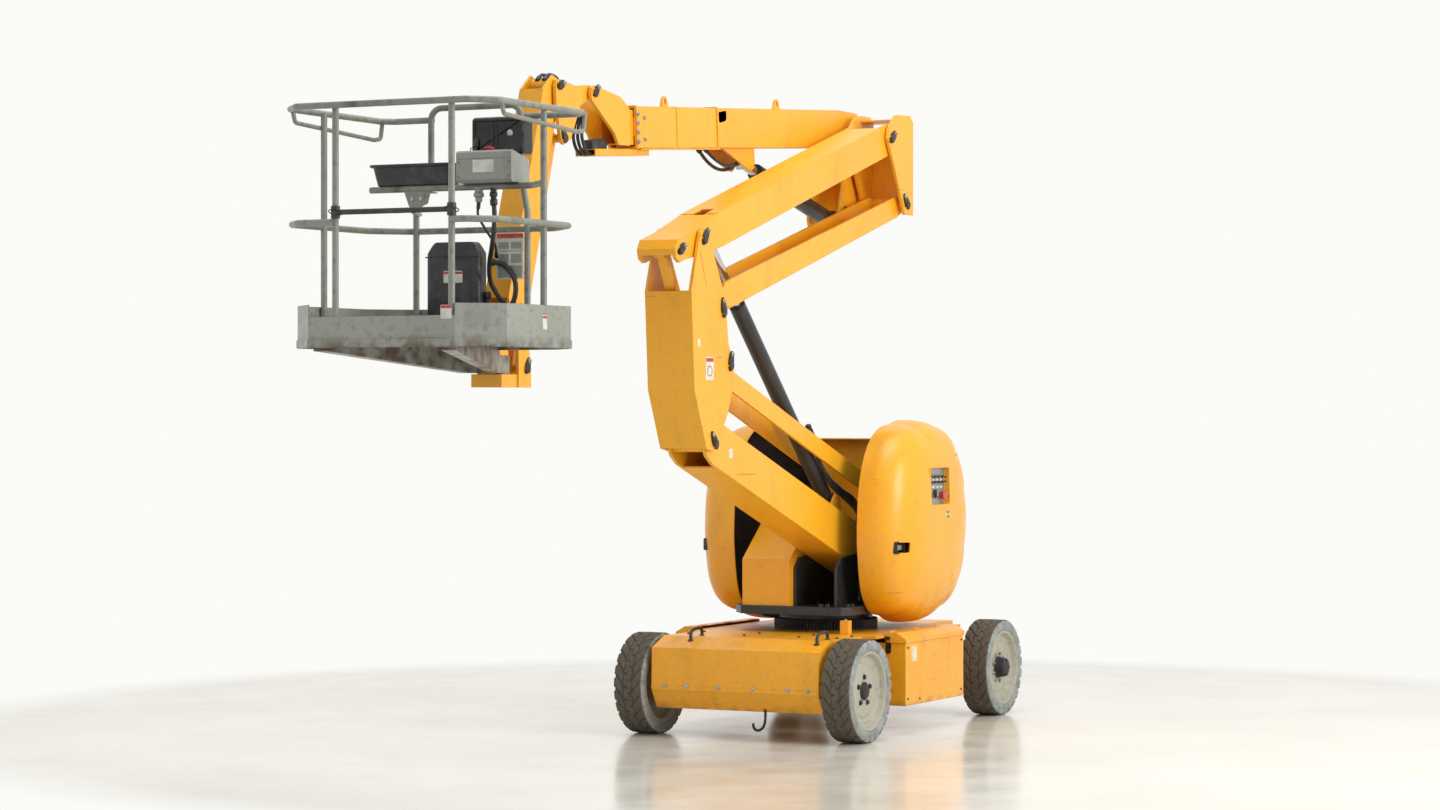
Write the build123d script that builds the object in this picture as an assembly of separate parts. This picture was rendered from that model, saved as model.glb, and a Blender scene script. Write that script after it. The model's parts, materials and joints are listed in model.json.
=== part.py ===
from build123d import *
from math import atan2, cos, degrees, hypot, radians, sin
import os

# Articulating boom lift: wheeled chassis, slewing turret, two-stage riser, telescopic boom, jib and basket.
# Millimetres. +X points to the basket end, +Y to the machine's left, +Z up.
# The origin is on the ground, on the slew axis.

# ---- driving dimensions: fits ----
PIN_FIT = 0.05          # radial gap of a pin in its bore
SEAT = 0.3              # gap between pieces that seat on each other
RUN = 8.0               # side gap between pieces that turn past each other

# ---- driving dimensions: wheels and chassis ----
WHEELBASE = 2000.0
TRACK_OUTER = 1500.0
TYRE_RADIUS = 293.0
TYRE_WIDTH = 186.0
TYRE_SHOULDER = 22.0
RIM_RADIUS = 226.0
RIM_DISH = 44.0
HUB_RADIUS = 58.0
SPINDLE_RADIUS = 28.0
GROUND_CLEARANCE = 170.0
DECK_Z = 575.0
WALL = 8.0
HOOD_REAR_X = 640.0
HOOD_FRONT_X = 1225.0
HOOD_TO_TYRE = 34.0
HOOD_CHEEK = 12.0
SPINE_HALF = 320.0
SPINE_REAR_X = -1190.0
SPINE_Z = 250.0
BOX_FRONT_X = 504.0
BOX_REAR_X = -355.0
BOX_HALF = 742.0
LID_DEPTH = 58.0
LID_OPEN_GAP = 6.0
LID_OVERHANG = 6.0
LID_FALL = 35.0
LID_SLOPE = 60.0
LID_SKIN = 5.0
LID_KNUCKLE = 90.0
KINGPIN_TO_TYRE = 52.0
KINGPIN_RADIUS = 18.0
KINGPIN_BOSS = 40.0
AXLE_BEAM = 96.0
KNUCKLE_HEIGHT = 110.0
LUG_THICK = 24.0
SLEW_RADIUS = 310.0
SLEW_HEIGHT = 62.0

# ---- driving dimensions: turret ----
BASE_THICK = 48.0
BASE_FRONT_X = 540.0
BASE_REAR_X = -690.0
BASE_HALF = 390.0
TOWER_FRONT_X = 470.0
TOWER_FRONT_Z = 1010.0
COVER_FRONT_X = 520.0
COVER_FRONT_Z = 1000.0
COVER_RISE = 210.0
COVER_RIGHT_Y = -300.0
REAR_COVER_TOP_Z = 1700.0
REAR_COVER_THICK = 110.0
COUNTER_LENGTH = 420.0
COUNTER_HEIGHT = 450.0
COWL_INNER_Y = 400.0
COWL_OUTER_Y = 705.0
COWL_FRONT_X = 440.0
COWL_REAR_X = -700.0
COWL_BOTTOM_Z = 668.0
COWL_TOP_Z = 1790.0
COWL_WALL = 8.0
COWL_HINGE_OFF = 12.0   # hinge axis behind the cowl's rear edge
COWL_HINGE_RADIUS = 6.0
COWL_HINGE_HEIGHT = 60.0
COWL_HINGE_Z = (1000.0, 1440.0)

# ---- driving dimensions: riser arms ----
ARM_Y = 150.0           # lateral centre of the riser arms
ARM_HALF = 115.0
PLATE = 18.0
PIN_RADIUS = 25.0
PIN_PROUD = 8.0         # how far a pin stands out of its plates
LINK_LENGTH = 2587.0
LOWER_ANGLE = 18.5
UPPER_ANGLE = 16.0
LOWER_PIVOT = (-409.0, 874.0)
LOWER_PAIR = (-184.0, 428.0)     # lower link pin from lower arm pin
MAST_RISE = (131.0, 1103.0)      # upper arm pin from lower arm pin
UPPER_PAIR = (-232.0, -385.0)    # upper link pin from upper arm pin
LOWER_ARM_TOP = 146.0
LOWER_ARM_BOTTOM = 99.0
LOWER_LINK_DEPTH = 106.0
UPPER_ARM_TOP = 88.0
UPPER_ARM_BOTTOM = 100.0
UPPER_LINK_DEPTH = 110.0
LINK_HALF = 96.0
LINK_RAIL = 16.0
LINK_RISE = 8.0
LINK_EYE = 42.0
BEAM_WALL = 10.0
NOSE_REACH = 241.0
TIMING_HALF = 6.0        # half the thickness of the timing link's bar

# ---- driving dimensions: boom, jib and basket ----
BOOM_Y = -125.0         # lateral centre of boom and jib
BOOM_PIVOT = (-236.0, 110.0)     # boom pin from the upper arm's rear pin
BOOM_ANGLE = -3.86
BOOM_DEPTH = 225.0
BOOM_DROP = 22.5        # section's centre line below the boom pin
BOOM_WIDTH = 170.0
BOOM_LENGTH = 2890.0
BOOM_EYES = (972.0, 2393.0)
EYE_RISE = 34.0
EYE_RADIUS = 16.0
EYE_THICK = 14.0
CHANNEL_LENGTH = 418.0   # hose channel beyond the outer section's end
CHANNEL_HALF = 60.0
CHANNEL_DEPTH = 38.0
INNER_DEPTH = 190.0
INNER_WIDTH = 136.0
INNER_START = 900.0
TIP_REACH = 3338.0
TIP_RISE = 157.0
TELESCOPE = 1200.0
PAD_LENGTH = 80.0
HEAD_REACH = (398.0, 5.0)        # jib pin from the boom tip pin
JIB_ROD_OFFSET = (-53.0, -269.0)
JIB_LENGTH = 1262.0
JIB_ANGLE = -71.9
JIB_WIDTH = 140.0
JIB_DEPTH = 170.0
JIB_ROD_WIDTH = 50.0
JIB_ROD_DEPTH = 72.0
SWIVEL_REACH = 116.4     # swivel axis ahead of the jib's lower pin
FOOT_DROP = 363.3        # foot below that pin
FOOT_HEIGHT = 66.0
HUB_PLATE_HEIGHT = 92.0
SWIVEL_RADIUS = 76.0
SWIVEL_HEIGHT = 190.0
BASKET_REACH = 140.0     # basket's rear edge ahead of the swivel axis
BASKET_DEPTH = 980.0
BASKET_WIDTH = 1180.0
BASKET_Y = -87.0
BASKET_CORNER = 180.0
BASKET_OVER_FOOT = 185.0
BASKET_RIM = 46.0
TOE_HEIGHT = 208.0
TOE_ENTRY_HEIGHT = 150.0
TOE_THICK = 6.0
FLOOR_THICK = 5.0
TOP_RAIL_RISE = 1163.0   # rail heights above the basket's underside
MID_RAIL_RISE = 602.0
SIDE_POST_DEPTHS = (410.0, 600.0)    # left and right, from the basket's rear edge
RAIL_CORNER = 110.0
RAIL_OVERHANG = (20.0, 15.0)         # top and mid rails outside the posts' line
ENTRY_RISE = 48.0        # entry bar above the mid rail
HOOP_RISE = 57.0         # rear hoop above the top rail
HOOP_LEGS = (-480.0, 167.0)
HOOP_TOPS = (-392.0, 130.0)
HOOP_BEND = (690.0, 880.0)
GRAB_RADIUS = 11.0
GRAB_DROP = 62.0
RAIL_RADIUS = 16.0
ENTRY_POST_INSET = (300.0, 186.0)   # front posts from the basket's right and left sides
ENTRY_LIFT = 400.0
ENTRY_BAR_RADIUS = 13.0
ENTRY_COLLAR = 6.0
SHELF_DEPTH = 260.0      # from the basket's rear edge
SHELF_RISE = 800.0
SHELF_SIDES = (-600.0, 330.0)
CONSOLE_SIDES = (-55.0, 258.0)
CONSOLE_REAR = 100.0     # behind the shelf tube
CONSOLE_FRONT = 80.0
CONSOLE_HEIGHT = 158.0
CONSOLE_FALL = 42.0
TRAY_SIDES = (-596.0, -116.0)
TRAY_HEIGHT = 108.0
SCREEN_SIDES = (-48.0, 250.0)
SCREEN_HEIGHT = 175.0
FOLDER_SIDES = (-356.0, -50.0)
FOLDER_HEIGHT = 493.0
FOLDER_DEPTH = 100.0

# ---- driving dimensions: cylinders ----
LIFT_EYE = (722.0, 467.0)        # lift cylinder eye from the lower arm pivot
LIFT_TARGET = (-264.0, 62.0)     # rod eye from the upper arm pin
LIFT_BARREL_RADIUS = 47.0
LIFT_PIN_RADIUS = 20.0
LIFT_LUG = 18.0
LIFT_EYE_SLOT = 40.0     # half of the opening above the rod's eye
LIFT_SLOT_HALF = 62.0    # half of the slots that the lift cylinder passes through
LIFT_ROD_RADIUS = 28.0
LIFT_BARREL_LENGTH = 1633.0
LIFT_ROD_LENGTH = 1780.0
BOOM_CYLINDER_BASE = (25.0, -474.0)   # lower eye from the upper arm's rear pin
BOOM_CYLINDER_TOP = (1421.0, -321.0)  # upper eye from the boom pin, world axes
BOOM_BARREL_RADIUS = 50.0
BOOM_ROD_RADIUS = 30.0
BOOM_BARREL_LENGTH = 1015.0
BOOM_ROD_LENGTH = 1000.0
BOOM_LUG = 14.0
BOOM_LUG_OFF = 63.0
BOOM_ROD_EYE = 34.0


# ---- places worked out from the driving dimensions ----
def shift(point, offset):
    return (point[0] + offset[0], point[1] + offset[1])


def polar(point, length, angle):
    return (point[0] + length * cos(radians(angle)), point[1] + length * sin(radians(angle)))


AXLE_X = WHEELBASE / 2
WHEEL_Y = TRACK_OUTER / 2 - TYRE_WIDTH / 2
WHEEL_INNER = TRACK_OUTER / 2 - TYRE_WIDTH
HOOD_HALF = WHEEL_INNER - HOOD_TO_TYRE
KINGPIN_HALF = WHEEL_INNER - KINGPIN_TO_TYRE
BASE_Z = DECK_Z + SLEW_HEIGHT + 43.0
BASE_TOP = BASE_Z + BASE_THICK
LINK_PIVOT = shift(LOWER_PIVOT, LOWER_PAIR)
MAST_LOW = polar(LOWER_PIVOT, LINK_LENGTH, LOWER_ANGLE)
MAST_LOW_LINK = shift(MAST_LOW, LOWER_PAIR)
MAST_HIGH = shift(MAST_LOW, MAST_RISE)
MAST_HIGH_LINK = shift(MAST_HIGH, UPPER_PAIR)
NOSE_PIN = polar(MAST_HIGH, NOSE_REACH, -UPPER_ANGLE)
CRANK_PIN = shift(MAST_LOW, (-148.0, 90.0))
REAR_PIN = polar(MAST_HIGH, LINK_LENGTH, 180 - UPPER_ANGLE)
REAR_LINK_PIN = shift(REAR_PIN, UPPER_PAIR)
BOOM_PIN = shift(REAR_PIN, BOOM_PIVOT)
LIFT_LOW = shift(LOWER_PIVOT, LIFT_EYE)
LIFT_HIGH = shift(MAST_HIGH, LIFT_TARGET)
CYL_LOW = shift(REAR_PIN, BOOM_CYLINDER_BASE)
CYL_HIGH = shift(BOOM_PIN, BOOM_CYLINDER_TOP)
TIP_PIN = polar(polar(BOOM_PIN, TIP_REACH, BOOM_ANGLE), TIP_RISE, BOOM_ANGLE + 90)
JIB_PIN = shift(TIP_PIN, HEAD_REACH)
JIB_ROD_PIN = shift(JIB_PIN, JIB_ROD_OFFSET)
JIB_END = polar(JIB_PIN, JIB_LENGTH, JIB_ANGLE)
JIB_ROD_END = polar(JIB_ROD_PIN, JIB_LENGTH, JIB_ANGLE)
PLATE_OFF = ARM_HALF + RUN + PLATE / 2
SWIVEL_X = JIB_END[0] + SWIVEL_REACH
FOOT_Z = JIB_END[1] - FOOT_DROP
BASKET_REAR_X = SWIVEL_X + BASKET_REACH
BASKET_BOTTOM_Z = FOOT_Z + BASKET_OVER_FOOT
TOP_RAIL_Z = BASKET_BOTTOM_Z + TOP_RAIL_RISE
MID_RAIL_Z = BASKET_BOTTOM_Z + MID_RAIL_RISE
SHELF_X = BASKET_REAR_X + SHELF_DEPTH
SHELF_Z = BASKET_BOTTOM_Z + SHELF_RISE
BASKET_FRONT_X = BASKET_REAR_X + BASKET_DEPTH
RAIL_INSET = RAIL_RADIUS + TOE_THICK + SEAT
SIDES = (("left", 1), ("right", -1))


# ---- shape helpers ----
def plate(points, thick, y=0.0, corner=0.0):
    """A flat plate with its outline in X and Z, centred on y."""
    outline = Polygon(*points, align=None)
    if corner:
        outline = fillet(outline.vertices(), corner)
    return Pos(0, y, 0) * extrude(Plane.XZ * outline, amount=thick / 2, both=True)


def pin(point, radius, width, y=0.0):
    """A round pin along Y through the point (x, z)."""
    return Pos(point[0], y, point[1]) * Rot(90, 0, 0) * Cylinder(radius, width)


def block(x0, x1, y0, y1, z0, z1):
    """A box between two corners."""
    centre = Pos((x0 + x1) / 2, (y0 + y1) / 2, (z0 + z1) / 2)
    return centre * Box(x1 - x0, y1 - y0, z1 - z0)


def slab(points, z0, z1):
    """A flat piece with its outline in X and Y, from z0 up to z1."""
    return Pos(0, 0, z0) * extrude(Polygon(*points, align=None), amount=z1 - z0, dir=(0, 0, 1))


def along(shape, point, angle, y):
    """A shape modelled along +X from the origin, set at the point and raised by the angle."""
    return Pos(point[0], y, point[1]) * Rot(0, -angle, 0) * shape


def to_boom(point):
    """A place in the boom's own axes, from the boom pin."""
    turn = radians(-BOOM_ANGLE)
    x, z = point[0] - BOOM_PIN[0], point[1] - BOOM_PIN[1]
    return (x * cos(turn) - z * sin(turn), x * sin(turn) + z * cos(turn))


def tube_beam(x0, x1, z0, z1, width, wall):
    """A box beam along X, open at its ends."""
    outer = block(x0, x1, -width / 2, width / 2, z0, z1)
    inner = block(x0 - 1, x1 + 1, wall - width / 2, width / 2 - wall, z0 + wall, z1 - wall)
    return outer - inner


def pipe(points, radius, bend):
    """A bent tube through the points, as a solid bar."""
    path = FilletPolyline(*points, radius=bend)
    return sweep(Plane(origin=path @ 0, z_dir=path % 0) * Circle(radius), path=path)


def fold(points, x0, x1):
    """A length along X with its outline in Y and Z."""
    return Pos(x0, 0, 0) * extrude(Plane.YZ * Polygon(*points, align=None), amount=x1 - x0)


def save(name, shape, colour):
    """Write one sub-part, named and coloured."""
    shape.label = name
    shape.color = Color(*colour)
    export_step(shape, f"parts/{name}.step")


YELLOW = (0.96, 0.69, 0.13)
BLACK = (0.08, 0.08, 0.08)
GREY = (0.62, 0.63, 0.58)
STEEL = (0.75, 0.75, 0.76)
RUBBER = (0.36, 0.34, 0.30)


# ---- wheels and steering ----
def tyre(x, side):
    outer = Rot(90, 0, 0) * Cylinder(TYRE_RADIUS, TYRE_WIDTH)
    outer = fillet(outer.edges().filter_by(GeomType.CIRCLE), TYRE_SHOULDER)
    ring = outer - Rot(90, 0, 0) * Cylinder(RIM_RADIUS, TYRE_WIDTH + 2)
    return Pos(x, side * WHEEL_Y, TYRE_RADIUS) * ring


def rim(x, side):
    """A dished disc that fills the tyre's bore, with a hub bored for its spindle."""
    disc = Rot(90, 0, 0) * Cylinder(RIM_RADIUS - SEAT, TYRE_WIDTH - 10)
    dish = Rot(90, 0, 0) * Cylinder(RIM_RADIUS - 24, RIM_DISH)
    inner_dish = Rot(90, 0, 0) * Cylinder(RIM_RADIUS - 24, RIM_DISH + 20)
    edge = (TYRE_WIDTH - 10) / 2
    disc = disc - Pos(0, side * (edge - RIM_DISH / 2 + 0.01), 0) * dish
    disc = disc - Pos(0, -side * (edge - RIM_DISH / 2 - 10 + 0.01), 0) * inner_dish
    hub_out = 62.0 if x < 0 else 20.0
    hub = Pos(0, side * (edge - RIM_DISH + hub_out / 2 - 1), 0) * Rot(90, 0, 0) * Cylinder(HUB_RADIUS, hub_out)
    disc = disc + hub
    bore_length = TYRE_WIDTH
    bore = Pos(0, -side * 30, 0) * Rot(90, 0, 0) * Cylinder(SPINDLE_RADIUS + PIN_FIT, bore_length)
    return Pos(x, side * WHEEL_Y, TYRE_RADIUS) * (disc - bore)


def steer_knuckle(side):
    """A block between the axle's lugs, with its kingpin and the wheel's spindle."""
    centre = (-AXLE_X, side * KINGPIN_HALF, TYRE_RADIUS)
    body = Pos(*centre) * Cylinder(KINGPIN_BOSS, KNUCKLE_HEIGHT - 2 * SEAT)
    king = Pos(*centre) * Cylinder(KINGPIN_RADIUS, KNUCKLE_HEIGHT + 2 * LUG_THICK + 8)
    reach = WHEEL_Y + 40 - KINGPIN_HALF
    spindle_at = Pos(-AXLE_X, side * (KINGPIN_HALF + reach / 2), TYRE_RADIUS)
    spindle = spindle_at * Rot(90, 0, 0) * Cylinder(SPINDLE_RADIUS, reach)
    y = sorted((side * KINGPIN_HALF, side * (KINGPIN_HALF + LUG_THICK)))
    arm = block(-AXLE_X + 20, -AXLE_X + 170, y[0], y[1], TYRE_RADIUS - 18, TYRE_RADIUS + 6)
    return body + king + spindle + arm


def rear_axle():
    """A box beam with a fork at each end for the steered knuckles."""
    half = KINGPIN_HALF - KINGPIN_BOSS - 6
    beam = block(-AXLE_X - AXLE_BEAM / 2, -AXLE_X + AXLE_BEAM / 2, -half, half,
                 TYRE_RADIUS - AXLE_BEAM / 2, TYRE_RADIUS + AXLE_BEAM / 2)
    for name, side in SIDES:
        for level in (-1, 1):
            z = TYRE_RADIUS + level * (KNUCKLE_HEIGHT / 2 + LUG_THICK / 2)
            lug = Pos(-AXLE_X, side * KINGPIN_HALF, z) * Cylinder(KINGPIN_BOSS, LUG_THICK)
            tongue = Pos(-AXLE_X, side * (KINGPIN_HALF - 46), z) * Box(72, 92, LUG_THICK)
            beam = beam + lug + tongue
        cheek_y = side * (half - 14)
        cheek = Pos(-AXLE_X, cheek_y, TYRE_RADIUS) * Box(72, 28, KNUCKLE_HEIGHT + 2 * LUG_THICK)
        bore = Pos(-AXLE_X, side * KINGPIN_HALF, TYRE_RADIUS) * Cylinder(KINGPIN_RADIUS + PIN_FIT, 260)
        beam = beam + cheek - bore
    return beam


# ---- chassis ----
def chassis_frame():
    """Centre spine from the rear axle to the drive end, with the slew ring's seat."""
    top = DECK_Z - 15
    spine = block(SPINE_REAR_X, HOOD_REAR_X, -SPINE_HALF, SPINE_HALF, SPINE_Z, top)
    spine = spine - block(SPINE_REAR_X + WALL, HOOD_REAR_X + 1, -SPINE_HALF + WALL, SPINE_HALF - WALL,
                          SPINE_Z + WALL, top - WALL)
    notch_half = AXLE_BEAM / 2 + 2
    notch = block(-AXLE_X - notch_half, -AXLE_X + notch_half, -SPINE_HALF - 1, SPINE_HALF + 1,
                  SPINE_Z - 1, TYRE_RADIUS + AXLE_BEAM / 2 + SEAT)
    deck = block(-620, HOOD_REAR_X, -BOX_HALF + 130, BOX_HALF - 130, top, DECK_Z)
    nose = block(HOOD_REAR_X - 20, HOOD_FRONT_X - 190, -SPINE_HALF, SPINE_HALF, 330, 480)
    cross = block(AXLE_X - 60, AXLE_X + 60, -HOOD_HALF + HOOD_CHEEK + SEAT, HOOD_HALF - HOOD_CHEEK - SEAT, 233, 353)
    return spine - notch + deck + nose + cross


def drive_hood():
    """Folded cover over the drive end, open underneath, with thick cheeks that carry the wheels."""
    low = GROUND_CLEARANCE - 4
    points = ((HOOD_REAR_X + SEAT, DECK_Z), (HOOD_FRONT_X - 150, DECK_Z), (HOOD_FRONT_X, DECK_Z - 60),
              (HOOD_FRONT_X + 8, 280), (HOOD_FRONT_X - 60, low), (HOOD_REAR_X + SEAT, low))
    outer = plate(points, 2 * HOOD_HALF)
    roof = DECK_Z - WALL
    inside = ((HOOD_REAR_X - 1, roof), (HOOD_FRONT_X - 150 - WALL, roof), (HOOD_FRONT_X - WALL, DECK_Z - 60 - WALL),
              (HOOD_FRONT_X, 280), (HOOD_FRONT_X - 68, low - 1), (HOOD_REAR_X - 1, low - 1))
    hollow = plate(inside, 2 * (HOOD_HALF - HOOD_CHEEK))
    hood = outer - hollow
    for name, side in SIDES:
        stub_length = WHEEL_Y + 40 - HOOD_HALF
        stub = Pos(AXLE_X, side * (HOOD_HALF + stub_length / 2 - 1), TYRE_RADIUS) * Rot(90, 0, 0)
        hood = hood + stub * Cylinder(SPINDLE_RADIUS, stub_length + 2)
        flange = Pos(AXLE_X, side * (HOOD_HALF + 11), TYRE_RADIUS) * Rot(90, 0, 0)
        hood = hood + flange * Cylinder(95, 24)
    return hood


def battery_box(side):
    """An open tray beside the spine, closed by its lid."""
    z1 = DECK_Z + 15 - LID_DEPTH
    y = sorted((side * (SPINE_HALF + SEAT), side * BOX_HALF))
    outer = block(BOX_REAR_X, BOX_FRONT_X, y[0], y[1], GROUND_CLEARANCE, z1)
    room = block(BOX_REAR_X + WALL, BOX_FRONT_X - WALL, y[0] + WALL, y[1] - WALL, GROUND_CLEARANCE + WALL, z1 + 1)
    return outer - room


def battery_lid(side):
    """A folded lid hinged along the deck's edge."""
    z0 = DECK_Z + 15 - LID_DEPTH + SEAT
    z1 = DECK_Z + 15
    inner_y = BOX_HALF - 130 + LID_OPEN_GAP
    edge = BOX_HALF + LID_OVERHANG
    skin = LID_OVERHANG + 4
    outer = ((inner_y, z0), (edge, z0), (edge, z1 - LID_FALL), (edge - LID_SLOPE, z1), (inner_y, z1))
    room = ((inner_y - 1, z0 - 1), (edge - skin, z0 - 1), (edge - skin, z1 - LID_FALL - 3),
            (edge - LID_SLOPE - 3, z1 - LID_SKIN), (inner_y - 1, z1 - LID_SKIN))
    lid = fold(outer, BOX_REAR_X - LID_OVERHANG, BOX_FRONT_X + LID_OVERHANG)
    lid = lid - fold(room, BOX_REAR_X + 2, BOX_FRONT_X - 2)
    for part in (0.1, 0.5, 0.9):
        x = BOX_REAR_X + part * (BOX_FRONT_X - BOX_REAR_X)
        lid = lid + Pos(x, inner_y, z1) * Rot(0, 90, 0) * Cylinder(LID_SKIN, LID_KNUCKLE)
    return lid if side > 0 else mirror(lid, Plane.XZ)


def battery_pack(side):
    y = sorted((side * (SPINE_HALF + 30), side * (BOX_HALF - 30)))
    return block(BOX_REAR_X + 40, BOX_FRONT_X - 40, y[0], y[1], GROUND_CLEARANCE + WALL + SEAT, 470)


def slew_ring():
    """The fixed toothed ring that the turret turns on."""
    ring = Cylinder(SLEW_RADIUS, SLEW_HEIGHT) - Cylinder(SLEW_RADIUS - 90, SLEW_HEIGHT + 2)
    return Pos(0, 0, DECK_Z + SEAT + SLEW_HEIGHT / 2) * ring


# ---- turret ----
def turret_base():
    """Base plate with its bearing flange and the two tower plates that carry the riser."""
    outline = ((BASE_FRONT_X, COVER_RIGHT_Y), (BASE_FRONT_X, BASE_HALF - 40), (BASE_FRONT_X - 60, BASE_HALF),
               (BASE_REAR_X, BASE_HALF), (BASE_REAR_X, -BASE_HALF), (BASE_FRONT_X - 120, -BASE_HALF))
    base = slab(outline, BASE_Z, BASE_TOP)
    flange_height = BASE_Z - DECK_Z - SLEW_HEIGHT - 2 * SEAT
    flange = Cylinder(SLEW_RADIUS - 30, flange_height) - Cylinder(SLEW_RADIUS - 90, flange_height + 2)
    base = base + Pos(0, 0, BASE_Z - flange_height / 2) * flange
    tower = ((TOWER_FRONT_X, BASE_TOP - 1), (TOWER_FRONT_X, TOWER_FRONT_Z - 60), (TOWER_FRONT_X - 60, TOWER_FRONT_Z),
             (LOWER_PIVOT[0] + 120, LOWER_PIVOT[1] + 200), (LINK_PIVOT[0] + 62, LINK_PIVOT[1] + 44),
             (LINK_PIVOT[0] + 20, LINK_PIVOT[1] + 62), (LINK_PIVOT[0] - 50, LINK_PIVOT[1] + 40),
             (LINK_PIVOT[0] - 50, BASE_TOP - 1))
    for level in (-1, 1):
        base = base + plate(tower, PLATE, ARM_Y + level * PLATE_OFF)
    span = 2 * (PLATE_OFF + PIN_PROUD) + PLATE
    for point in (LOWER_PIVOT, LINK_PIVOT):
        base = base + pin(point, PIN_RADIUS, span, ARM_Y)
    return base


def centre_cover():
    """Hollow cover in front of the hydraulics, with a sloping top."""
    left = ARM_Y - PLATE_OFF - PLATE / 2 - SEAT
    z0 = BASE_TOP + SEAT
    profile = ((COVER_FRONT_X, z0), (COVER_FRONT_X, COVER_FRONT_Z), (COVER_FRONT_X - 260, COVER_FRONT_Z + COVER_RISE),
               (COVER_FRONT_X - 300, COVER_FRONT_Z + COVER_RISE), (COVER_FRONT_X - 300, z0))
    inside = ((COVER_FRONT_X - 6, z0 - 1), (COVER_FRONT_X - 6, COVER_FRONT_Z - 4),
              (COVER_FRONT_X - 262, COVER_FRONT_Z + COVER_RISE - 6), (COVER_FRONT_X - 301, COVER_FRONT_Z + COVER_RISE - 6),
              (COVER_FRONT_X - 301, z0 - 1))
    centre = (left + COVER_RIGHT_Y) / 2
    width = left - COVER_RIGHT_Y
    return plate(profile, width, centre) - plate(inside, width - 12, centre)


def counterweight():
    """The heavy block at the turret's tail, behind the tower."""
    tower_y = ARM_Y - PLATE_OFF - PLATE / 2 - PIN_PROUD
    return block(BASE_REAR_X + 6, BASE_REAR_X + 6 + COUNTER_LENGTH, 5 - BASE_HALF, tower_y - SEAT,
                 BASE_TOP + SEAT, BASE_TOP + SEAT + COUNTER_HEIGHT)


def rear_cover():
    """The cover between the cowls at the tail, with the pins that the cowls hang on."""
    half = COWL_INNER_Y - 12
    front = BASE_REAR_X - SEAT
    outer = block(front - REAR_COVER_THICK, front, -half, half, BASE_Z, REAR_COVER_TOP_Z)
    room = block(front - REAR_COVER_THICK + WALL, front + 1, -half + WALL, half - WALL,
                 BASE_Z - 1, REAR_COVER_TOP_Z - WALL)
    cover = outer - room
    x = COWL_REAR_X - COWL_HINGE_OFF
    for name, side in SIDES:
        for z in COWL_HINGE_Z:
            y = sorted((side * (half - WALL), side * (COWL_INNER_Y + COWL_HINGE_RADIUS)))
            lug = block(x - COWL_HINGE_RADIUS, x + COWL_HINGE_RADIUS, y[0], y[1], z - 14, z - SEAT)
            stud = Pos(x, side * COWL_INNER_Y, z + COWL_HINGE_HEIGHT / 2) * Cylinder(
                COWL_HINGE_RADIUS, COWL_HINGE_HEIGHT + 4)
            cover = cover + lug + stud
    return cover


def cowl_form(inset):
    """The cowl's rounded outer form on the left side, drawn in by the inset."""
    x0 = COWL_REAR_X + inset
    x1 = COWL_FRONT_X - inset
    y1 = COWL_OUTER_Y - inset
    z0 = COWL_BOTTOM_Z + inset
    z1 = COWL_TOP_Z - inset
    bottom = COWL_INNER_Y - (1 if inset else 0)
    plan = ((x1, bottom), (x1 - 50, y1 - 190), (x1 - 200, y1 - 45), (x1 - 420, y1),
            (x0 + 330, y1), (x0 + 120, y1 - 60), (x0, y1 - 230), (x0, bottom))
    body = slab(plan, z0, z1)
    side = Polygon((x0 + 210, z0), (x1 - 190, z0), (x1 - 60, z0 + 130), (x1, z0 + 480), (x1 - 40, z0 + 800),
                   (x1 - 150, z1 - 110), (x1 - 330, z1), (x0 + 220, z1), (x0, z1 - 240), (x0, z0 + 230), align=None)
    mask = extrude(Plane.XZ * side, amount=2000, both=True)
    front = Polygon((bottom - 1, z0), (y1 - 150, z0), (y1 - 30, z0 + 160), (y1, z0 + 420), (y1, z1 - 420),
                    (y1 - 40, z1 - 180), (y1 - 150, z1 - 30), (y1 - 230, z1), (bottom - 1, z1), align=None)
    lengthwise = extrude(Plane.YZ * front, amount=2000, both=True)
    return body & mask & lengthwise


def cowl(side):
    """A thin shell, open on its inner side, with two hinge eyes at its rear edge."""
    shell = cowl_form(0) - cowl_form(COWL_WALL)
    x = COWL_REAR_X - COWL_HINGE_OFF
    outer = COWL_HINGE_RADIUS + 4
    for z in COWL_HINGE_Z:
        leaf = block(x, COWL_REAR_X + 30, COWL_INNER_Y, COWL_INNER_Y + 5, z, z + COWL_HINGE_HEIGHT)
        middle = Pos(x, COWL_INNER_Y, z + COWL_HINGE_HEIGHT / 2)
        shell = shell + leaf + middle * Cylinder(outer, COWL_HINGE_HEIGHT)
        shell = shell - middle * Cylinder(COWL_HINGE_RADIUS + PIN_FIT, COWL_HINGE_HEIGHT + 2)
    return shell if side > 0 else mirror(shell, Plane.XZ)


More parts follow.
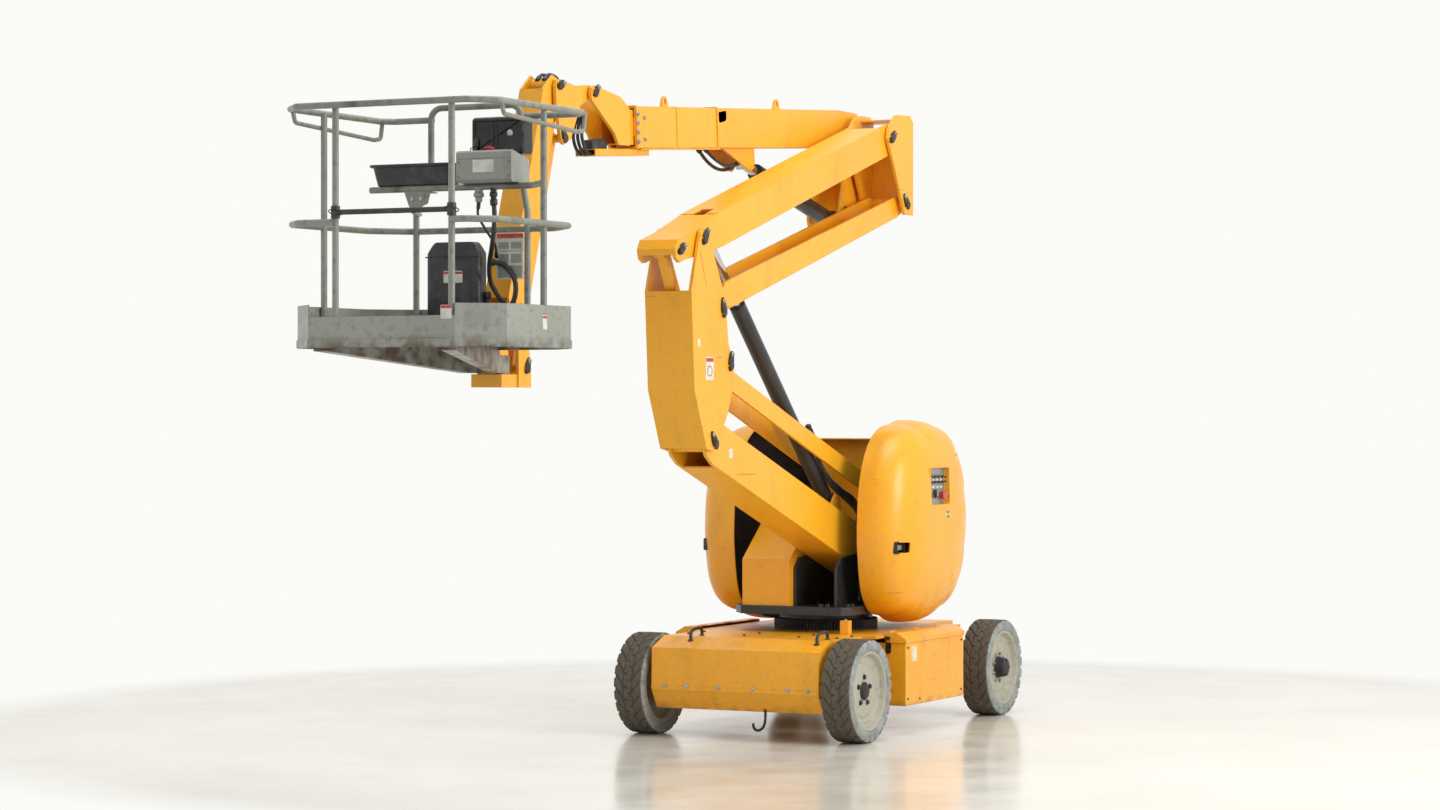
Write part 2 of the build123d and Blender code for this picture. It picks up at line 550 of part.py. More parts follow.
# ---- riser ----
def lower_arm():
    """Box beam from the tower to the mast, with a rounded nose and the lift cylinder's lugs."""
    start = 60.0
    beam = tube_beam(start, LINK_LENGTH - 120, -LOWER_ARM_BOTTOM, LOWER_ARM_TOP, 2 * ARM_HALF, BEAM_WALL)
    for level in (-1, 1):
        y = level * (ARM_HALF - BEAM_WALL)
        tail = ((-62, -40), (-62, 40), (start + 60, LOWER_ARM_TOP), (start + 60, -LOWER_ARM_BOTTOM), (-20, -62))
        beam = beam + plate(tail, 2 * BEAM_WALL, y)
        nose = ((LINK_LENGTH - 120, LOWER_ARM_TOP), (LINK_LENGTH - 30, 96), (LINK_LENGTH + 44, 62),
                (LINK_LENGTH + 78, 4), (LINK_LENGTH + 66, -40), (LINK_LENGTH + 22, -76),
                (LINK_LENGTH - 60, -LOWER_ARM_BOTTOM), (LINK_LENGTH - 160, -LOWER_ARM_BOTTOM))
        beam = beam + plate(nose, 2 * BEAM_WALL, y)
    beam = beam + pin((0, 0), 45, 2 * ARM_HALF) + pin((LINK_LENGTH, 0), 45, 2 * ARM_HALF)
    eye = (LIFT_LOW[0] - LOWER_PIVOT[0], LIFT_LOW[1] - LOWER_PIVOT[1])
    turn = radians(-LOWER_ANGLE)
    local = (eye[0] * cos(turn) - eye[1] * sin(turn), eye[0] * sin(turn) + eye[1] * cos(turn))
    for level in (-1, 1):
        lug = ((local[0] - 90, LOWER_ARM_TOP - 5), (local[0] - 30, local[1] + 34), (local[0] + 30, local[1] + 34),
               (local[0] + 90, LOWER_ARM_TOP - 5))
        beam = beam + plate(lug, LIFT_LUG, level * (LIFT_BARREL_RADIUS + RUN + LIFT_LUG / 2))
    beam = beam + pin(local, LIFT_PIN_RADIUS, 2 * (LIFT_BARREL_RADIUS + RUN + LIFT_LUG) + 2)
    for x in (0, LINK_LENGTH):
        beam = beam - pin((x, 0), PIN_RADIUS + PIN_FIT, 4 * ARM_HALF)
    return along(beam, LOWER_PIVOT, LOWER_ANGLE, ARM_Y)


def link_end(body, x, radius, through):
    """An eye at one end of a link: right across, or on its two rails only."""
    if through:
        body = body + pin((x, 0), radius, 2 * LINK_HALF)
    else:
        for level in (-1, 1):
            body = body + pin((x, 0), radius, LINK_RAIL, level * (LINK_HALF - LINK_RAIL / 2))
    return body - pin((x, 0), PIN_RADIUS + PIN_FIT, 4 * ARM_HALF)


def lower_link():
    """Two side rails joined near the tower, open beyond for the lift cylinder."""
    link = None
    for level in (-1, 1):
        rail = block(0, LINK_LENGTH, -LINK_RAIL / 2, LINK_RAIL / 2, LINK_RISE - LOWER_LINK_DEPTH, LINK_RISE)
        rail = Pos(0, level * (LINK_HALF - LINK_RAIL / 2), 0) * rail
        link = rail if link is None else link + rail
    link = link + block(120, 360, 2 - LINK_HALF, LINK_HALF - 2, LINK_RISE - LOWER_LINK_DEPTH, LINK_RISE - LOWER_LINK_DEPTH + 10)
    link = link_end(link, 0, LINK_EYE, True)
    link = link_end(link, LINK_LENGTH, LINK_EYE, False)
    return along(link, LINK_PIVOT, LOWER_ANGLE, ARM_Y)


def mast():
    """Two side plates and a bent front plate, with the riser's pins."""
    x, z = MAST_LOW
    hx, hz = MAST_HIGH
    outline = ((x + 100, z - 26), (x + 244, z + 291), (x + 280, z + 824), (hx + 62, hz - 20), (hx + 40, hz + 40),
               (hx, hz + 58), (hx - 48, hz + 34), (hx - 110, hz - 60), (MAST_HIGH_LINK[0] - 30, hz - 318),
               (MAST_HIGH_LINK[0] - 62, MAST_HIGH_LINK[1] - 170), (MAST_LOW_LINK[0] - 52, MAST_LOW_LINK[1] - 6),
               (MAST_LOW_LINK[0] - 40, MAST_LOW_LINK[1] - 110), (x - 155, z + 162), (x - 43, z + 13), (x + 20, z - 40))
    body = None
    for level in (-1, 1):
        side = plate(outline, PLATE, ARM_Y + level * PLATE_OFF)
        body = side if body is None else body + side
    front = ((x + 100, z - 26), (x + 244, z + 291), (x + 280, z + 824), (x + 270, z + 824),
             (x + 234, z + 293), (x + 91, z - 22))
    body = body + plate(front, 2 * PLATE_OFF + PLATE, ARM_Y)
    span = 2 * (PLATE_OFF + PIN_PROUD) + PLATE
    for point in (MAST_LOW, MAST_HIGH):
        body = body + pin(point, PIN_RADIUS, span, ARM_Y)
    stub = span / 2 - LINK_HALF + LINK_RAIL
    for point in (MAST_LOW_LINK, MAST_HIGH_LINK):
        for level in (-1, 1):
            body = body + pin(point, PIN_RADIUS, stub, ARM_Y + level * (span - stub) / 2)
    return body


def timing_link():
    """The twin link inside the mast that ties both riser arms together."""
    length = hypot(NOSE_PIN[0] - CRANK_PIN[0], NOSE_PIN[1] - CRANK_PIN[1])
    angle = degrees(atan2(CRANK_PIN[1] - NOSE_PIN[1], CRANK_PIN[0] - NOSE_PIN[0]))
    bar = block(0, length - 60, -30, 30, -TIMING_HALF, TIMING_HALF) + pin((0, 0), 40, 60)
    bar = bar - pin((0, 0), PIN_RADIUS + PIN_FIT, 200)
    return along(bar, NOSE_PIN, angle, ARM_Y)


def upper_arm():
    """Box beam from the mast to the rear knuckle, with a rounded nose past the mast."""
    length = LINK_LENGTH
    beam = tube_beam(90, length - 250, -UPPER_ARM_BOTTOM, UPPER_ARM_TOP, 2 * ARM_HALF, BEAM_WALL)
    beam = beam - block(length - 900, length, -LIFT_SLOT_HALF, LIFT_SLOT_HALF, -UPPER_ARM_BOTTOM - 1, 0)
    for level in (-1, 1):
        y = level * (ARM_HALF - BEAM_WALL)
        tail = ((-58, -30), (-58, 60), (-20, UPPER_ARM_TOP), (160, UPPER_ARM_TOP), (160, -UPPER_ARM_BOTTOM),
                (-10, -UPPER_ARM_BOTTOM), (-45, -70))
        front = ((length - 320, UPPER_ARM_TOP), (length + 60, 62), (length + 250, 62), (length + 296, 20),
                 (length + 296, -30), (length + 262, -62), (length + 200, -62), (length + 120, -70),
                 (length - 40, -95), (length - 320, -UPPER_ARM_BOTTOM))
        beam = beam + plate(tail, 2 * BEAM_WALL, y) + plate(front, 2 * BEAM_WALL, y)
    cap = ((length - 260, 76), (length + 60, 52), (length + 248, 52), (length + 286, 14), (length + 286, -14),
           (length + 296, -14), (length + 296, 20), (length + 250, 62), (length + 60, 62), (length - 260, 86))
    beam = beam + plate(cap, 2 * ARM_HALF)
    beam = beam - block(length - 360, length - 235, -LIFT_EYE_SLOT, LIFT_EYE_SLOT, 0, UPPER_ARM_TOP + 1)
    nose = (length + NOSE_REACH, 0)
    beam = beam + pin((0, 0), 45, 2 * ARM_HALF) + pin((length, 0), 40, 2 * ARM_HALF) + pin(nose, PIN_RADIUS, 2 * ARM_HALF + 12)
    for x in (0, length):
        beam = beam - pin((x, 0), PIN_RADIUS + PIN_FIT, 4 * ARM_HALF)
    return along(beam, REAR_PIN, -UPPER_ANGLE, ARM_Y)


def upper_link():
    """Open channel below the upper arm."""
    length = LINK_LENGTH
    half = LINK_HALF
    body = None
    outline = ((-40, -44), (-30, 42), (60, 62), (length - 150, 128), (length - 46, 44), (length + 40, 20),
               (length + 40, -30), (length - 50, -14), (60, -62))
    for level in (-1, 1):
        side = plate(outline, LINK_RAIL, level * (half - LINK_RAIL / 2))
        body = side if body is None else body + side
    floor = plate(((60, -62), (length - 150, -22), (length - 150, -12), (60, -52)), 2 * half)
    body = body + floor - block(length - 1150, length, -LIFT_SLOT_HALF, LIFT_SLOT_HALF, -UPPER_LINK_DEPTH, 0)
    body = link_end(body, 0, LINK_EYE - 2, True)
    body = link_end(body, length, LINK_EYE - 2, False)
    return along(body, REAR_LINK_PIN, -UPPER_ANGLE, ARM_Y)


def rear_knuckle():
    """Side plates for the riser and a fork beside them for the boom and its cylinder."""
    kx, kz = REAR_PIN
    lx, lz = REAR_LINK_PIN
    bx, bz = BOOM_PIN
    cx, cz = CYL_LOW
    near = ((kx + 52, kz), (kx + 34, kz + 60), (kx - 73, kz + 149), (kx - 278, kz + 160), (kx - 328, kz + 120),
            (kx - 328, lz - 60), (lx + 30, lz - 62), (kx - 20, kz - 120))
    fork = ((bx + 152, bz - 28), (bx + 40, bz + 52), (bx - 60, bz + 60), (bx - 92, bz + 20), (kx - 328, lz - 60),
            (cx - 60, cz - 62), (cx + 40, cz - 56), (cx + 60, cz), (cx + 30, cz + 120), (bx + 220, bz - 240))
    boom_off = BOOM_WIDTH / 2 + RUN + PLATE / 2
    body = plate(near, PLATE, ARM_Y + PLATE_OFF) + plate(near, PLATE, ARM_Y - PLATE_OFF)
    body = body + plate(fork, PLATE, BOOM_Y + boom_off) + plate(fork, PLATE, BOOM_Y - boom_off)
    left = ARM_Y + PLATE_OFF + PLATE / 2
    mid_left = ARM_Y - PLATE_OFF + PLATE / 2
    mid_right = BOOM_Y + boom_off - PLATE / 2
    right = BOOM_Y - boom_off - PLATE / 2
    rear = kx - 328
    body = body + block(rear, rear + 12, mid_right, left, lz - 40, kz + 60)
    body = body + block(rear, rear + 12, right, left, lz - 40, bz - 150)
    body = body + block(rear, rear + 190, mid_left - 1, left - 1, kz + 118, kz + 130)
    body = body + block(rear + 6, rear + 150, mid_right, mid_left, lz - 20, kz - 260)
    body = body + pin(REAR_PIN, PIN_RADIUS, 2 * (PLATE_OFF + PIN_PROUD) + PLATE, ARM_Y)
    body = body + pin(REAR_LINK_PIN, PIN_RADIUS, 2 * (PLATE_OFF + PIN_PROUD) + PLATE, ARM_Y)
    body = body + pin(BOOM_PIN, PIN_RADIUS, 2 * boom_off + PLATE + 16, BOOM_Y)
    body = body + pin(CYL_LOW, PIN_RADIUS, 2 * boom_off + PLATE + 16, BOOM_Y)
    return body


# ---- cylinders ----
def barrel(low, high, radius, length, eye, y):
    """A cylinder barrel from its eye towards the rod's eye, bored for the rod."""
    angle = degrees(atan2(high[1] - low[1], high[0] - low[0]))
    body = Pos(length / 2 + 20, 0, 0) * Rot(0, 90, 0) * Cylinder(radius, length - 40)
    body = body + pin((0, 0), radius, eye)
    return low, angle, y, body


def lift_cylinder_barrel():
    low, angle, y, body = barrel(LIFT_LOW, LIFT_HIGH, LIFT_BARREL_RADIUS, LIFT_BARREL_LENGTH, 72, ARM_Y)
    bore = Pos(LIFT_BARREL_LENGTH / 2 + 80, 0, 0) * Rot(0, 90, 0)
    body = body - bore * Cylinder(LIFT_ROD_RADIUS + SEAT, LIFT_BARREL_LENGTH + 20)
    body = body - pin((0, 0), LIFT_PIN_RADIUS + PIN_FIT, 200)
    return along(body, low, angle, y)


def lift_cylinder_rod():
    reach = hypot(LIFT_HIGH[0] - LIFT_LOW[0], LIFT_HIGH[1] - LIFT_LOW[1])
    angle = degrees(atan2(LIFT_HIGH[1] - LIFT_LOW[1], LIFT_HIGH[0] - LIFT_LOW[0]))
    body = Pos(reach - LIFT_ROD_LENGTH / 2, 0, 0) * Rot(0, 90, 0) * Cylinder(LIFT_ROD_RADIUS, LIFT_ROD_LENGTH)
    body = body + pin((reach, 0), 34, 60) - pin((reach, 0), 14, 80)
    return along(body, LIFT_LOW, angle, ARM_Y)


def boom_cylinder_barrel():
    low, angle, y, body = barrel(CYL_LOW, CYL_HIGH, BOOM_BARREL_RADIUS, BOOM_BARREL_LENGTH, 90, BOOM_Y)
    bore = Pos(BOOM_BARREL_LENGTH / 2 + 80, 0, 0) * Rot(0, 90, 0)
    body = body - bore * Cylinder(BOOM_ROD_RADIUS + SEAT, BOOM_BARREL_LENGTH + 20)
    body = body - pin((0, 0), PIN_RADIUS + PIN_FIT, 200)
    return along(body, low, angle, y)


def boom_cylinder_rod():
    reach = hypot(CYL_HIGH[0] - CYL_LOW[0], CYL_HIGH[1] - CYL_LOW[1])
    angle = degrees(atan2(CYL_HIGH[1] - CYL_LOW[1], CYL_HIGH[0] - CYL_LOW[0]))
    body = Pos(reach - BOOM_ROD_LENGTH / 2, 0, 0) * Rot(0, 90, 0) * Cylinder(BOOM_ROD_RADIUS, BOOM_ROD_LENGTH)
    body = body + pin((reach, 0), BOOM_ROD_EYE, 60) - pin((reach, 0), 16, 80)
    return along(body, CYL_LOW, angle, BOOM_Y)


# ---- boom and jib ----
def boom_outer():
    """Outer boom section with its rear boss, the cylinder's lugs, lifting eyes and wear pads."""
    half = BOOM_DEPTH / 2
    top = half - BOOM_DROP
    low = -half - BOOM_DROP
    beam = tube_beam(250, BOOM_LENGTH, low, top, BOOM_WIDTH, BEAM_WALL)
    tail = ((-46, -20), (-36, 34), (9, 72), (270, top), (270, low), (60, -96), (-20, -62))
    for level in (-1, 1):
        beam = beam + plate(tail, 2 * BEAM_WALL, level * (BOOM_WIDTH / 2 - BEAM_WALL))
    beam = beam + pin((0, 0), 56, BOOM_WIDTH)
    lug_x, lug_z = to_boom(CYL_HIGH)
    lug = ((lug_x - 20, low + 4), (lug_x + 400, low + 4), (lug_x + 66, lug_z - 36), (lug_x + 20, lug_z - 44),
           (lug_x - 10, lug_z - 26), (lug_x - 24, lug_z + 12))
    for level in (-1, 1):
        beam = beam + plate(lug, BOOM_LUG, level * BOOM_LUG_OFF)
    for x in BOOM_EYES:
        eye = ((x - 46, top - 2), (x + 46, top - 2), (x + 24, top + 48), (x + 12, top + 62),
               (x - 12, top + 62), (x - 24, top + 48))
        beam = beam + plate(eye, EYE_THICK) - pin((x, top + EYE_RISE), EYE_RADIUS, 2 * EYE_THICK)
    for level in (-1, 1):
        upper = sorted((level * (INNER_DEPTH / 2 + SEAT) - BOOM_DROP, level * (half - 1) - BOOM_DROP))
        beam = beam + block(BOOM_LENGTH - PAD_LENGTH, BOOM_LENGTH, -40, 40, upper[0], upper[1])
        flank = sorted((level * (INNER_WIDTH / 2 + SEAT), level * (BOOM_WIDTH / 2 - 1)))
        beam = beam + block(BOOM_LENGTH - PAD_LENGTH, BOOM_LENGTH, flank[0], flank[1], -50 - BOOM_DROP, 50 - BOOM_DROP)
    channel = block(BOOM_LENGTH - 190, BOOM_LENGTH + CHANNEL_LENGTH, -CHANNEL_HALF, CHANNEL_HALF,
                    low - 2 - CHANNEL_DEPTH, low - 2)
    room = block(BOOM_LENGTH - 191, BOOM_LENGTH + CHANNEL_LENGTH + 1, 6 - CHANNEL_HALF, CHANNEL_HALF - 6,
                 low + 4 - CHANNEL_DEPTH, low - 8)
    pad = block(BOOM_LENGTH - 180, BOOM_LENGTH - 40, 10 - CHANNEL_HALF, CHANNEL_HALF - 10, low - 4, low + 1)
    beam = beam + (channel - room) + pad
    beam = beam - pin((0, 0), PIN_RADIUS + PIN_FIT, 400)
    return along(beam, BOOM_PIN, BOOM_ANGLE, BOOM_Y)


def boom_inner():
    """Telescoping section with the tip plates and their pin."""
    half = INNER_DEPTH / 2
    beam = tube_beam(INNER_START, BOOM_LENGTH + 130, -half - BOOM_DROP, half - BOOM_DROP, INNER_WIDTH, BEAM_WALL)
    offsets = ((42, -8), (32, 26), (0, 38), (-285, -19), (-334, -51), (-376, -75), (-375, -279), (-250, -276),
               (-203, -211), (36, -40))
    outline = [(TIP_REACH + x, TIP_RISE + z) for x, z in offsets]
    for level in (-1, 1):
        beam = beam + plate(outline, PLATE, level * (INNER_WIDTH / 2 + PLATE / 2))
    beam = beam + pin((TIP_REACH, TIP_RISE), PIN_RADIUS, INNER_WIDTH + 2 * PLATE + 12)
    return along(beam, BOOM_PIN, BOOM_ANGLE, BOOM_Y)


def jib_head():
    """The levelled bracket between the boom's tip and the jib."""
    tx, tz = TIP_PIN
    jx, jz = JIB_PIN
    rx, rz = JIB_ROD_PIN
    neck = ((tx - 40, tz - 14), (tx - 22, tz + 30), (tx + 22, tz + 40), (jx - 200, jz + 12), (jx - 180, jz - 126),
            (jx - 226, jz - 110), (tx + 30, tz - 40))
    body = plate(neck, INNER_WIDTH - 2 * RUN, BOOM_Y)
    outline = ((jx + 40, jz - 8), (jx + 28, jz + 26), (jx - 10, jz + 32), (jx - 220, jz + 6), (jx - 252, jz - 40),
               (jx - 200, jz - 128), (jx - 122, jz - 270), (rx + 6, rz - 34), (rx + 36, rz - 12), (jx + 34, jz - 90))
    off = JIB_WIDTH / 2 + RUN + PLATE / 2
    for level in (-1, 1):
        body = body + plate(outline, PLATE, BOOM_Y + level * off)
    body = body + block(jx - 236, jx - 186, BOOM_Y - off, BOOM_Y + off, jz - 110, jz + 4)
    for point in (JIB_PIN, JIB_ROD_PIN):
        body = body + pin(point, PIN_RADIUS - 3, 2 * off + PLATE + 12, BOOM_Y)
    return body - pin(TIP_PIN, PIN_RADIUS + PIN_FIT, 400, BOOM_Y)


def jib_arm():
    """The jib's box beam."""
    beam = tube_beam(60, JIB_LENGTH - 60, -60, JIB_DEPTH - 60, JIB_WIDTH, BEAM_WALL)
    for x in (0, JIB_LENGTH):
        inward = 62 if x == 0 else -62
        for level in (-1, 1):
            end = ((x - inward * 0.7, -40), (x - inward * 0.7, 40), (x + inward, JIB_DEPTH - 60), (x + inward, -60))
            beam = beam + plate(end, 12, level * (JIB_WIDTH / 2 - 6))
        beam = beam + pin((x, 0), 38, JIB_WIDTH)
    for x in (0, JIB_LENGTH):
        beam = beam - pin((x, 0), PIN_RADIUS - 3 + PIN_FIT, 400)
    return along(beam, JIB_PIN, JIB_ANGLE, BOOM_Y)


def jib_rod():
    """The slim rod that keeps the basket level, parallel to the jib."""
    beam = tube_beam(0, JIB_LENGTH, -JIB_ROD_DEPTH / 2, JIB_ROD_DEPTH / 2, JIB_ROD_WIDTH, 6)
    for x in (0, JIB_LENGTH):
        beam = beam + pin((x, 0), JIB_ROD_DEPTH / 2, JIB_ROD_WIDTH)
    for x in (0, JIB_LENGTH):
        beam = beam - pin((x, 0), PIN_RADIUS - 3 + PIN_FIT, 400)
    return along(beam, JIB_ROD_PIN, JIB_ANGLE, BOOM_Y)


def basket_carrier():
    """Plates at the jib's end with the foot and the swivel's housing."""
    jx, jz = JIB_END
    rx, rz = JIB_ROD_END
    off = JIB_WIDTH / 2 + RUN + PLATE / 2
    outline = ((jx + 40, jz + 20), (jx + 10, jz + 44), (jx - 36, jz + 30), (rx - 46, rz + 10), (rx - 46, FOOT_Z),
               (jx + 28, FOOT_Z), (jx + 28, jz - 60))
    body = plate(outline, PLATE, BOOM_Y + off) + plate(outline, PLATE, BOOM_Y - off)
    foot_x = rx + JIB_ROD_DEPTH / 2 + RUN
    body = body + block(foot_x, SWIVEL_X + SWIVEL_RADIUS - 6, BOOM_Y - off - 1, BOOM_Y + off + 1, FOOT_Z, FOOT_Z + FOOT_HEIGHT)
    z0 = FOOT_Z + FOOT_HEIGHT + HUB_PLATE_HEIGHT + 2 * SEAT
    body = body + Pos(SWIVEL_X, BOOM_Y, z0 + SWIVEL_HEIGHT / 2) * Cylinder(SWIVEL_RADIUS, SWIVEL_HEIGHT)
    body = body + block(jx + 10, SWIVEL_X - 20, BOOM_Y - off, BOOM_Y + off, z0 + 30, z0 + 44)
    for point in (JIB_END, JIB_ROD_END):
        body = body + pin(point, PIN_RADIUS - 3, 2 * off + PLATE + 12, BOOM_Y)
    return body


# ---- basket ----
def ring_points(inset, rear_corner, z, front_corner=BASKET_CORNER):
    """Corners of the basket's plan at one height."""
    x0 = BASKET_REAR_X + inset
    x1 = BASKET_FRONT_X - inset
    y0 = BASKET_Y - BASKET_WIDTH / 2 + inset
    y1 = BASKET_Y + BASKET_WIDTH / 2 - inset
    c = front_corner
    r = rear_corner
    return [(x1, y0 + c, z), (x1, y1 - c, z), (x1 - c, y1, z), (x0 + r, y1, z), (x0, y1 - r, z),
            (x0, y0 + r, z), (x0 + r, y0, z), (x1 - c, y0, z)]


def basket_floor():
    """Floor, rim, toe board, under-floor beams and swivel hub."""
    plan = [(x, y) for x, y, z in ring_points(0, BASKET_CORNER, 0)]
    room = [(x, y) for x, y, z in ring_points(TOE_THICK, BASKET_CORNER, 0)]
    floor_z = BASKET_BOTTOM_Z + BASKET_RIM
    body = slab(plan, BASKET_BOTTOM_Z, BASKET_BOTTOM_Z + TOE_HEIGHT) - slab(room, floor_z, floor_z + TOE_HEIGHT)
    body = body - slab(room, BASKET_BOTTOM_Z - 1, floor_z - FLOOR_THICK)
    c = BASKET_CORNER
    body = body - block(BASKET_FRONT_X - 20, BASKET_FRONT_X + 1, BASKET_Y - BASKET_WIDTH / 2 + c, BASKET_Y + BASKET_WIDTH / 2 - c,
                        BASKET_BOTTOM_Z + TOE_ENTRY_HEIGHT, BASKET_BOTTOM_Z + TOE_HEIGHT + 1)
    hub_z = FOOT_Z + FOOT_HEIGHT + SEAT
    for name, side in SIDES:
        beam = slab(((SWIVEL_X, BOOM_Y + side * 12), (SWIVEL_X, BOOM_Y + side * 68),
                     (BASKET_FRONT_X - 90, BOOM_Y + side * 400), (BASKET_FRONT_X - 90, BOOM_Y + side * 320)),
                    hub_z - 20, floor_z - FLOOR_THICK / 2)
        low, high = hub_z + 5, hub_z + HUB_PLATE_HEIGHT - 5
        taper = plate(((SWIVEL_X - 60, low), (BASKET_REAR_X, low), (BASKET_FRONT_X, BASKET_BOTTOM_Z - 4),
                       (BASKET_FRONT_X, floor_z), (BASKET_REAR_X + 3, floor_z), (BASKET_REAR_X - 30, high),
                       (SWIVEL_X - 60, high)), 2 * BASKET_WIDTH, BASKET_Y)
        body = body + (beam & taper)
    return body + Pos(SWIVEL_X, BOOM_Y, hub_z + HUB_PLATE_HEIGHT / 2) * Cylinder(SWIVEL_RADIUS + 6, HUB_PLATE_HEIGHT)


def entry_posts():
    """Places of the two front posts that guide the entry bar."""
    x = BASKET_FRONT_X - RAIL_INSET
    right = BASKET_Y - BASKET_WIDTH / 2 + RAIL_INSET + ENTRY_POST_INSET[0]
    left = BASKET_Y + BASKET_WIDTH / 2 - RAIL_INSET - ENTRY_POST_INSET[1]
    return ((x, right), (x, left))


def rear_hoop(x, z0):
    """The bent tube round the control station, from the floor up over the top rail and down again."""
    low, high = (BASKET_BOTTOM_Z + rise for rise in HOOP_BEND)
    top = TOP_RAIL_Z + HOOP_RISE
    return pipe(((x, HOOP_LEGS[0], z0), (x, HOOP_LEGS[0], low), (x, HOOP_TOPS[0], high), (x, HOOP_TOPS[0], top),
                 (x, HOOP_TOPS[1], top), (x, HOOP_TOPS[1], high), (x, HOOP_LEGS[1], low), (x, HOOP_LEGS[1], z0)),
                RAIL_RADIUS, 60)


def grab_rail(y):
    """A lower hand rail hung below the top rail on one side."""
    front = BASKET_FRONT_X - RAIL_CORNER - 46
    rear = BASKET_REAR_X + 70
    drop = TOP_RAIL_Z - GRAB_DROP
    return pipe(((front + 24, y, TOP_RAIL_Z), (front, y, drop), (rear + 40, y, drop - 36), (rear - 20, y, drop - 26),
                 (rear - 36, y, TOP_RAIL_Z)), GRAB_RADIUS, 24)


def basket_rails():
    """Top and mid rails with their posts and the shelf tube of the controls."""
    body = None
    for z, corner, bend, out in ((TOP_RAIL_Z, 60, 26, RAIL_OVERHANG[0]), (MID_RAIL_Z, BASKET_CORNER, 50, RAIL_OVERHANG[1])):
        path = FilletPolyline(*ring_points(RAIL_INSET - out, corner, z, RAIL_CORNER), close=True, radius=bend)
        ring = sweep(Plane(origin=path @ 0, z_dir=path % 0) * Circle(RAIL_RADIUS), path=path)
        body = ring if body is None else body + ring
    z0 = BASKET_BOTTOM_Z + BASKET_RIM + SEAT
    x0 = BASKET_REAR_X + RAIL_INSET
    y0 = BASKET_Y - BASKET_WIDTH / 2 + RAIL_INSET
    y1 = BASKET_Y + BASKET_WIDTH / 2 - RAIL_INSET
    left_x, right_x = (BASKET_REAR_X + depth for depth in SIDE_POST_DEPTHS)
    front = entry_posts()
    body = body - block(front[0][0] - 40, BASKET_FRONT_X + 40, front[0][1], front[1][1], MID_RAIL_Z - 30, MID_RAIL_Z + 30)
    body = body - block(BASKET_REAR_X - 40, x0 + 60, HOOP_TOPS[0], HOOP_TOPS[1], TOP_RAIL_Z - 20, TOP_RAIL_Z + 20)
    posts = [Pos(x, y, (z0 + TOP_RAIL_Z) / 2) * Cylinder(RAIL_RADIUS, TOP_RAIL_Z - z0)
             for x, y in front + ((left_x, y1), (right_x, y0))]
    shelf = pipe(((left_x + 7, y1 + 5, SHELF_Z), (SHELF_X, SHELF_SIDES[1], SHELF_Z), (SHELF_X, SHELF_SIDES[0], SHELF_Z)),
                 RAIL_RADIUS, 50)
    top_out = RAIL_OVERHANG[0]
    return body + [*posts, rear_hoop(x0, z0), grab_rail(y0 - top_out), grab_rail(y1 + top_out), shelf]


def entry_bar():
    """The bar across the entry, with a collar on each front post."""
    (x, right), (x, left) = entry_posts()
    z = MID_RAIL_Z + ENTRY_RISE
    bar = Pos(x, (left + right) / 2, z) * Rot(90, 0, 0) * Cylinder(ENTRY_BAR_RADIUS, left - right)
    for y in (right, left):
        collar = Pos(x, y, z)
        bar = bar + collar * Cylinder(RAIL_RADIUS + ENTRY_COLLAR, 60)
        bar = bar - collar * Cylinder(RAIL_RADIUS + SEAT, 62)
    return bar


def console():
    """The sloping control desk on its shelf tube."""
    z0 = SHELF_Z + RAIL_RADIUS + SEAT
    rear, front = SHELF_X - CONSOLE_REAR, SHELF_X + CONSOLE_FRONT
    desk = ((rear, z0), (front - 12, z0), (front, z0 + 16), (front, z0 + CONSOLE_HEIGHT - 10),
            (front - 14, z0 + CONSOLE_HEIGHT), (rear, z0 + CONSOLE_HEIGHT - CONSOLE_FALL))
    return plate(desk, CONSOLE_SIDES[1] - CONSOLE_SIDES[0], sum(CONSOLE_SIDES) / 2)


def screen_hood():
    """The glossy housing that stands behind the control desk's top."""
    desk_z = SHELF_Z + RAIL_RADIUS + SEAT + CONSOLE_HEIGHT - CONSOLE_FALL
    rear = SHELF_X - CONSOLE_REAR
    top = desk_z + SEAT + 42 + SCREEN_HEIGHT
    slope = CONSOLE_FALL / (CONSOLE_REAR + CONSOLE_FRONT - 14)
    hood = ((rear, desk_z + SEAT), (rear + 50, desk_z + SEAT + 50 * slope), (rear + 50, top - 30),
            (rear + 30, top), (rear - 30, top), (rear - 50, top - 24), (rear - 50, desk_z + 50), (rear - 20, desk_z + 34))
    return plate(hood, SCREEN_SIDES[1] - SCREEN_SIDES[0], sum(SCREEN_SIDES) / 2)


def tool_tray():
    """The open tray on the shelf tube, beside the control desk."""
    z0 = SHELF_Z + RAIL_RADIUS + SEAT
    x0, x1 = SHELF_X - 150, SHELF_X + 40
    tray = block(x0, x1, TRAY_SIDES[0], TRAY_SIDES[1], z0, z0 + TRAY_HEIGHT)
    return tray - block(x0 + 6, x1 - 6, TRAY_SIDES[0] + 6, TRAY_SIDES[1] - 6, z0 + 6, z0 + TRAY_HEIGHT + 1)


def document_box():
    """The upright box for papers on the basket's floor, with a leaning front."""
    z0 = BASKET_BOTTOM_Z + BASKET_RIM + SEAT
    x0 = BASKET_REAR_X + 36
    front = x0 + FOLDER_DEPTH
    outline = ((x0, z0), (front, z0), (front, z0 + FOLDER_HEIGHT - 60), (front - 30, z0 + FOLDER_HEIGHT),
               (x0, z0 + FOLDER_HEIGHT))
    return plate(outline, FOLDER_SIDES[1] - FOLDER_SIDES[0], sum(FOLDER_SIDES) / 2)


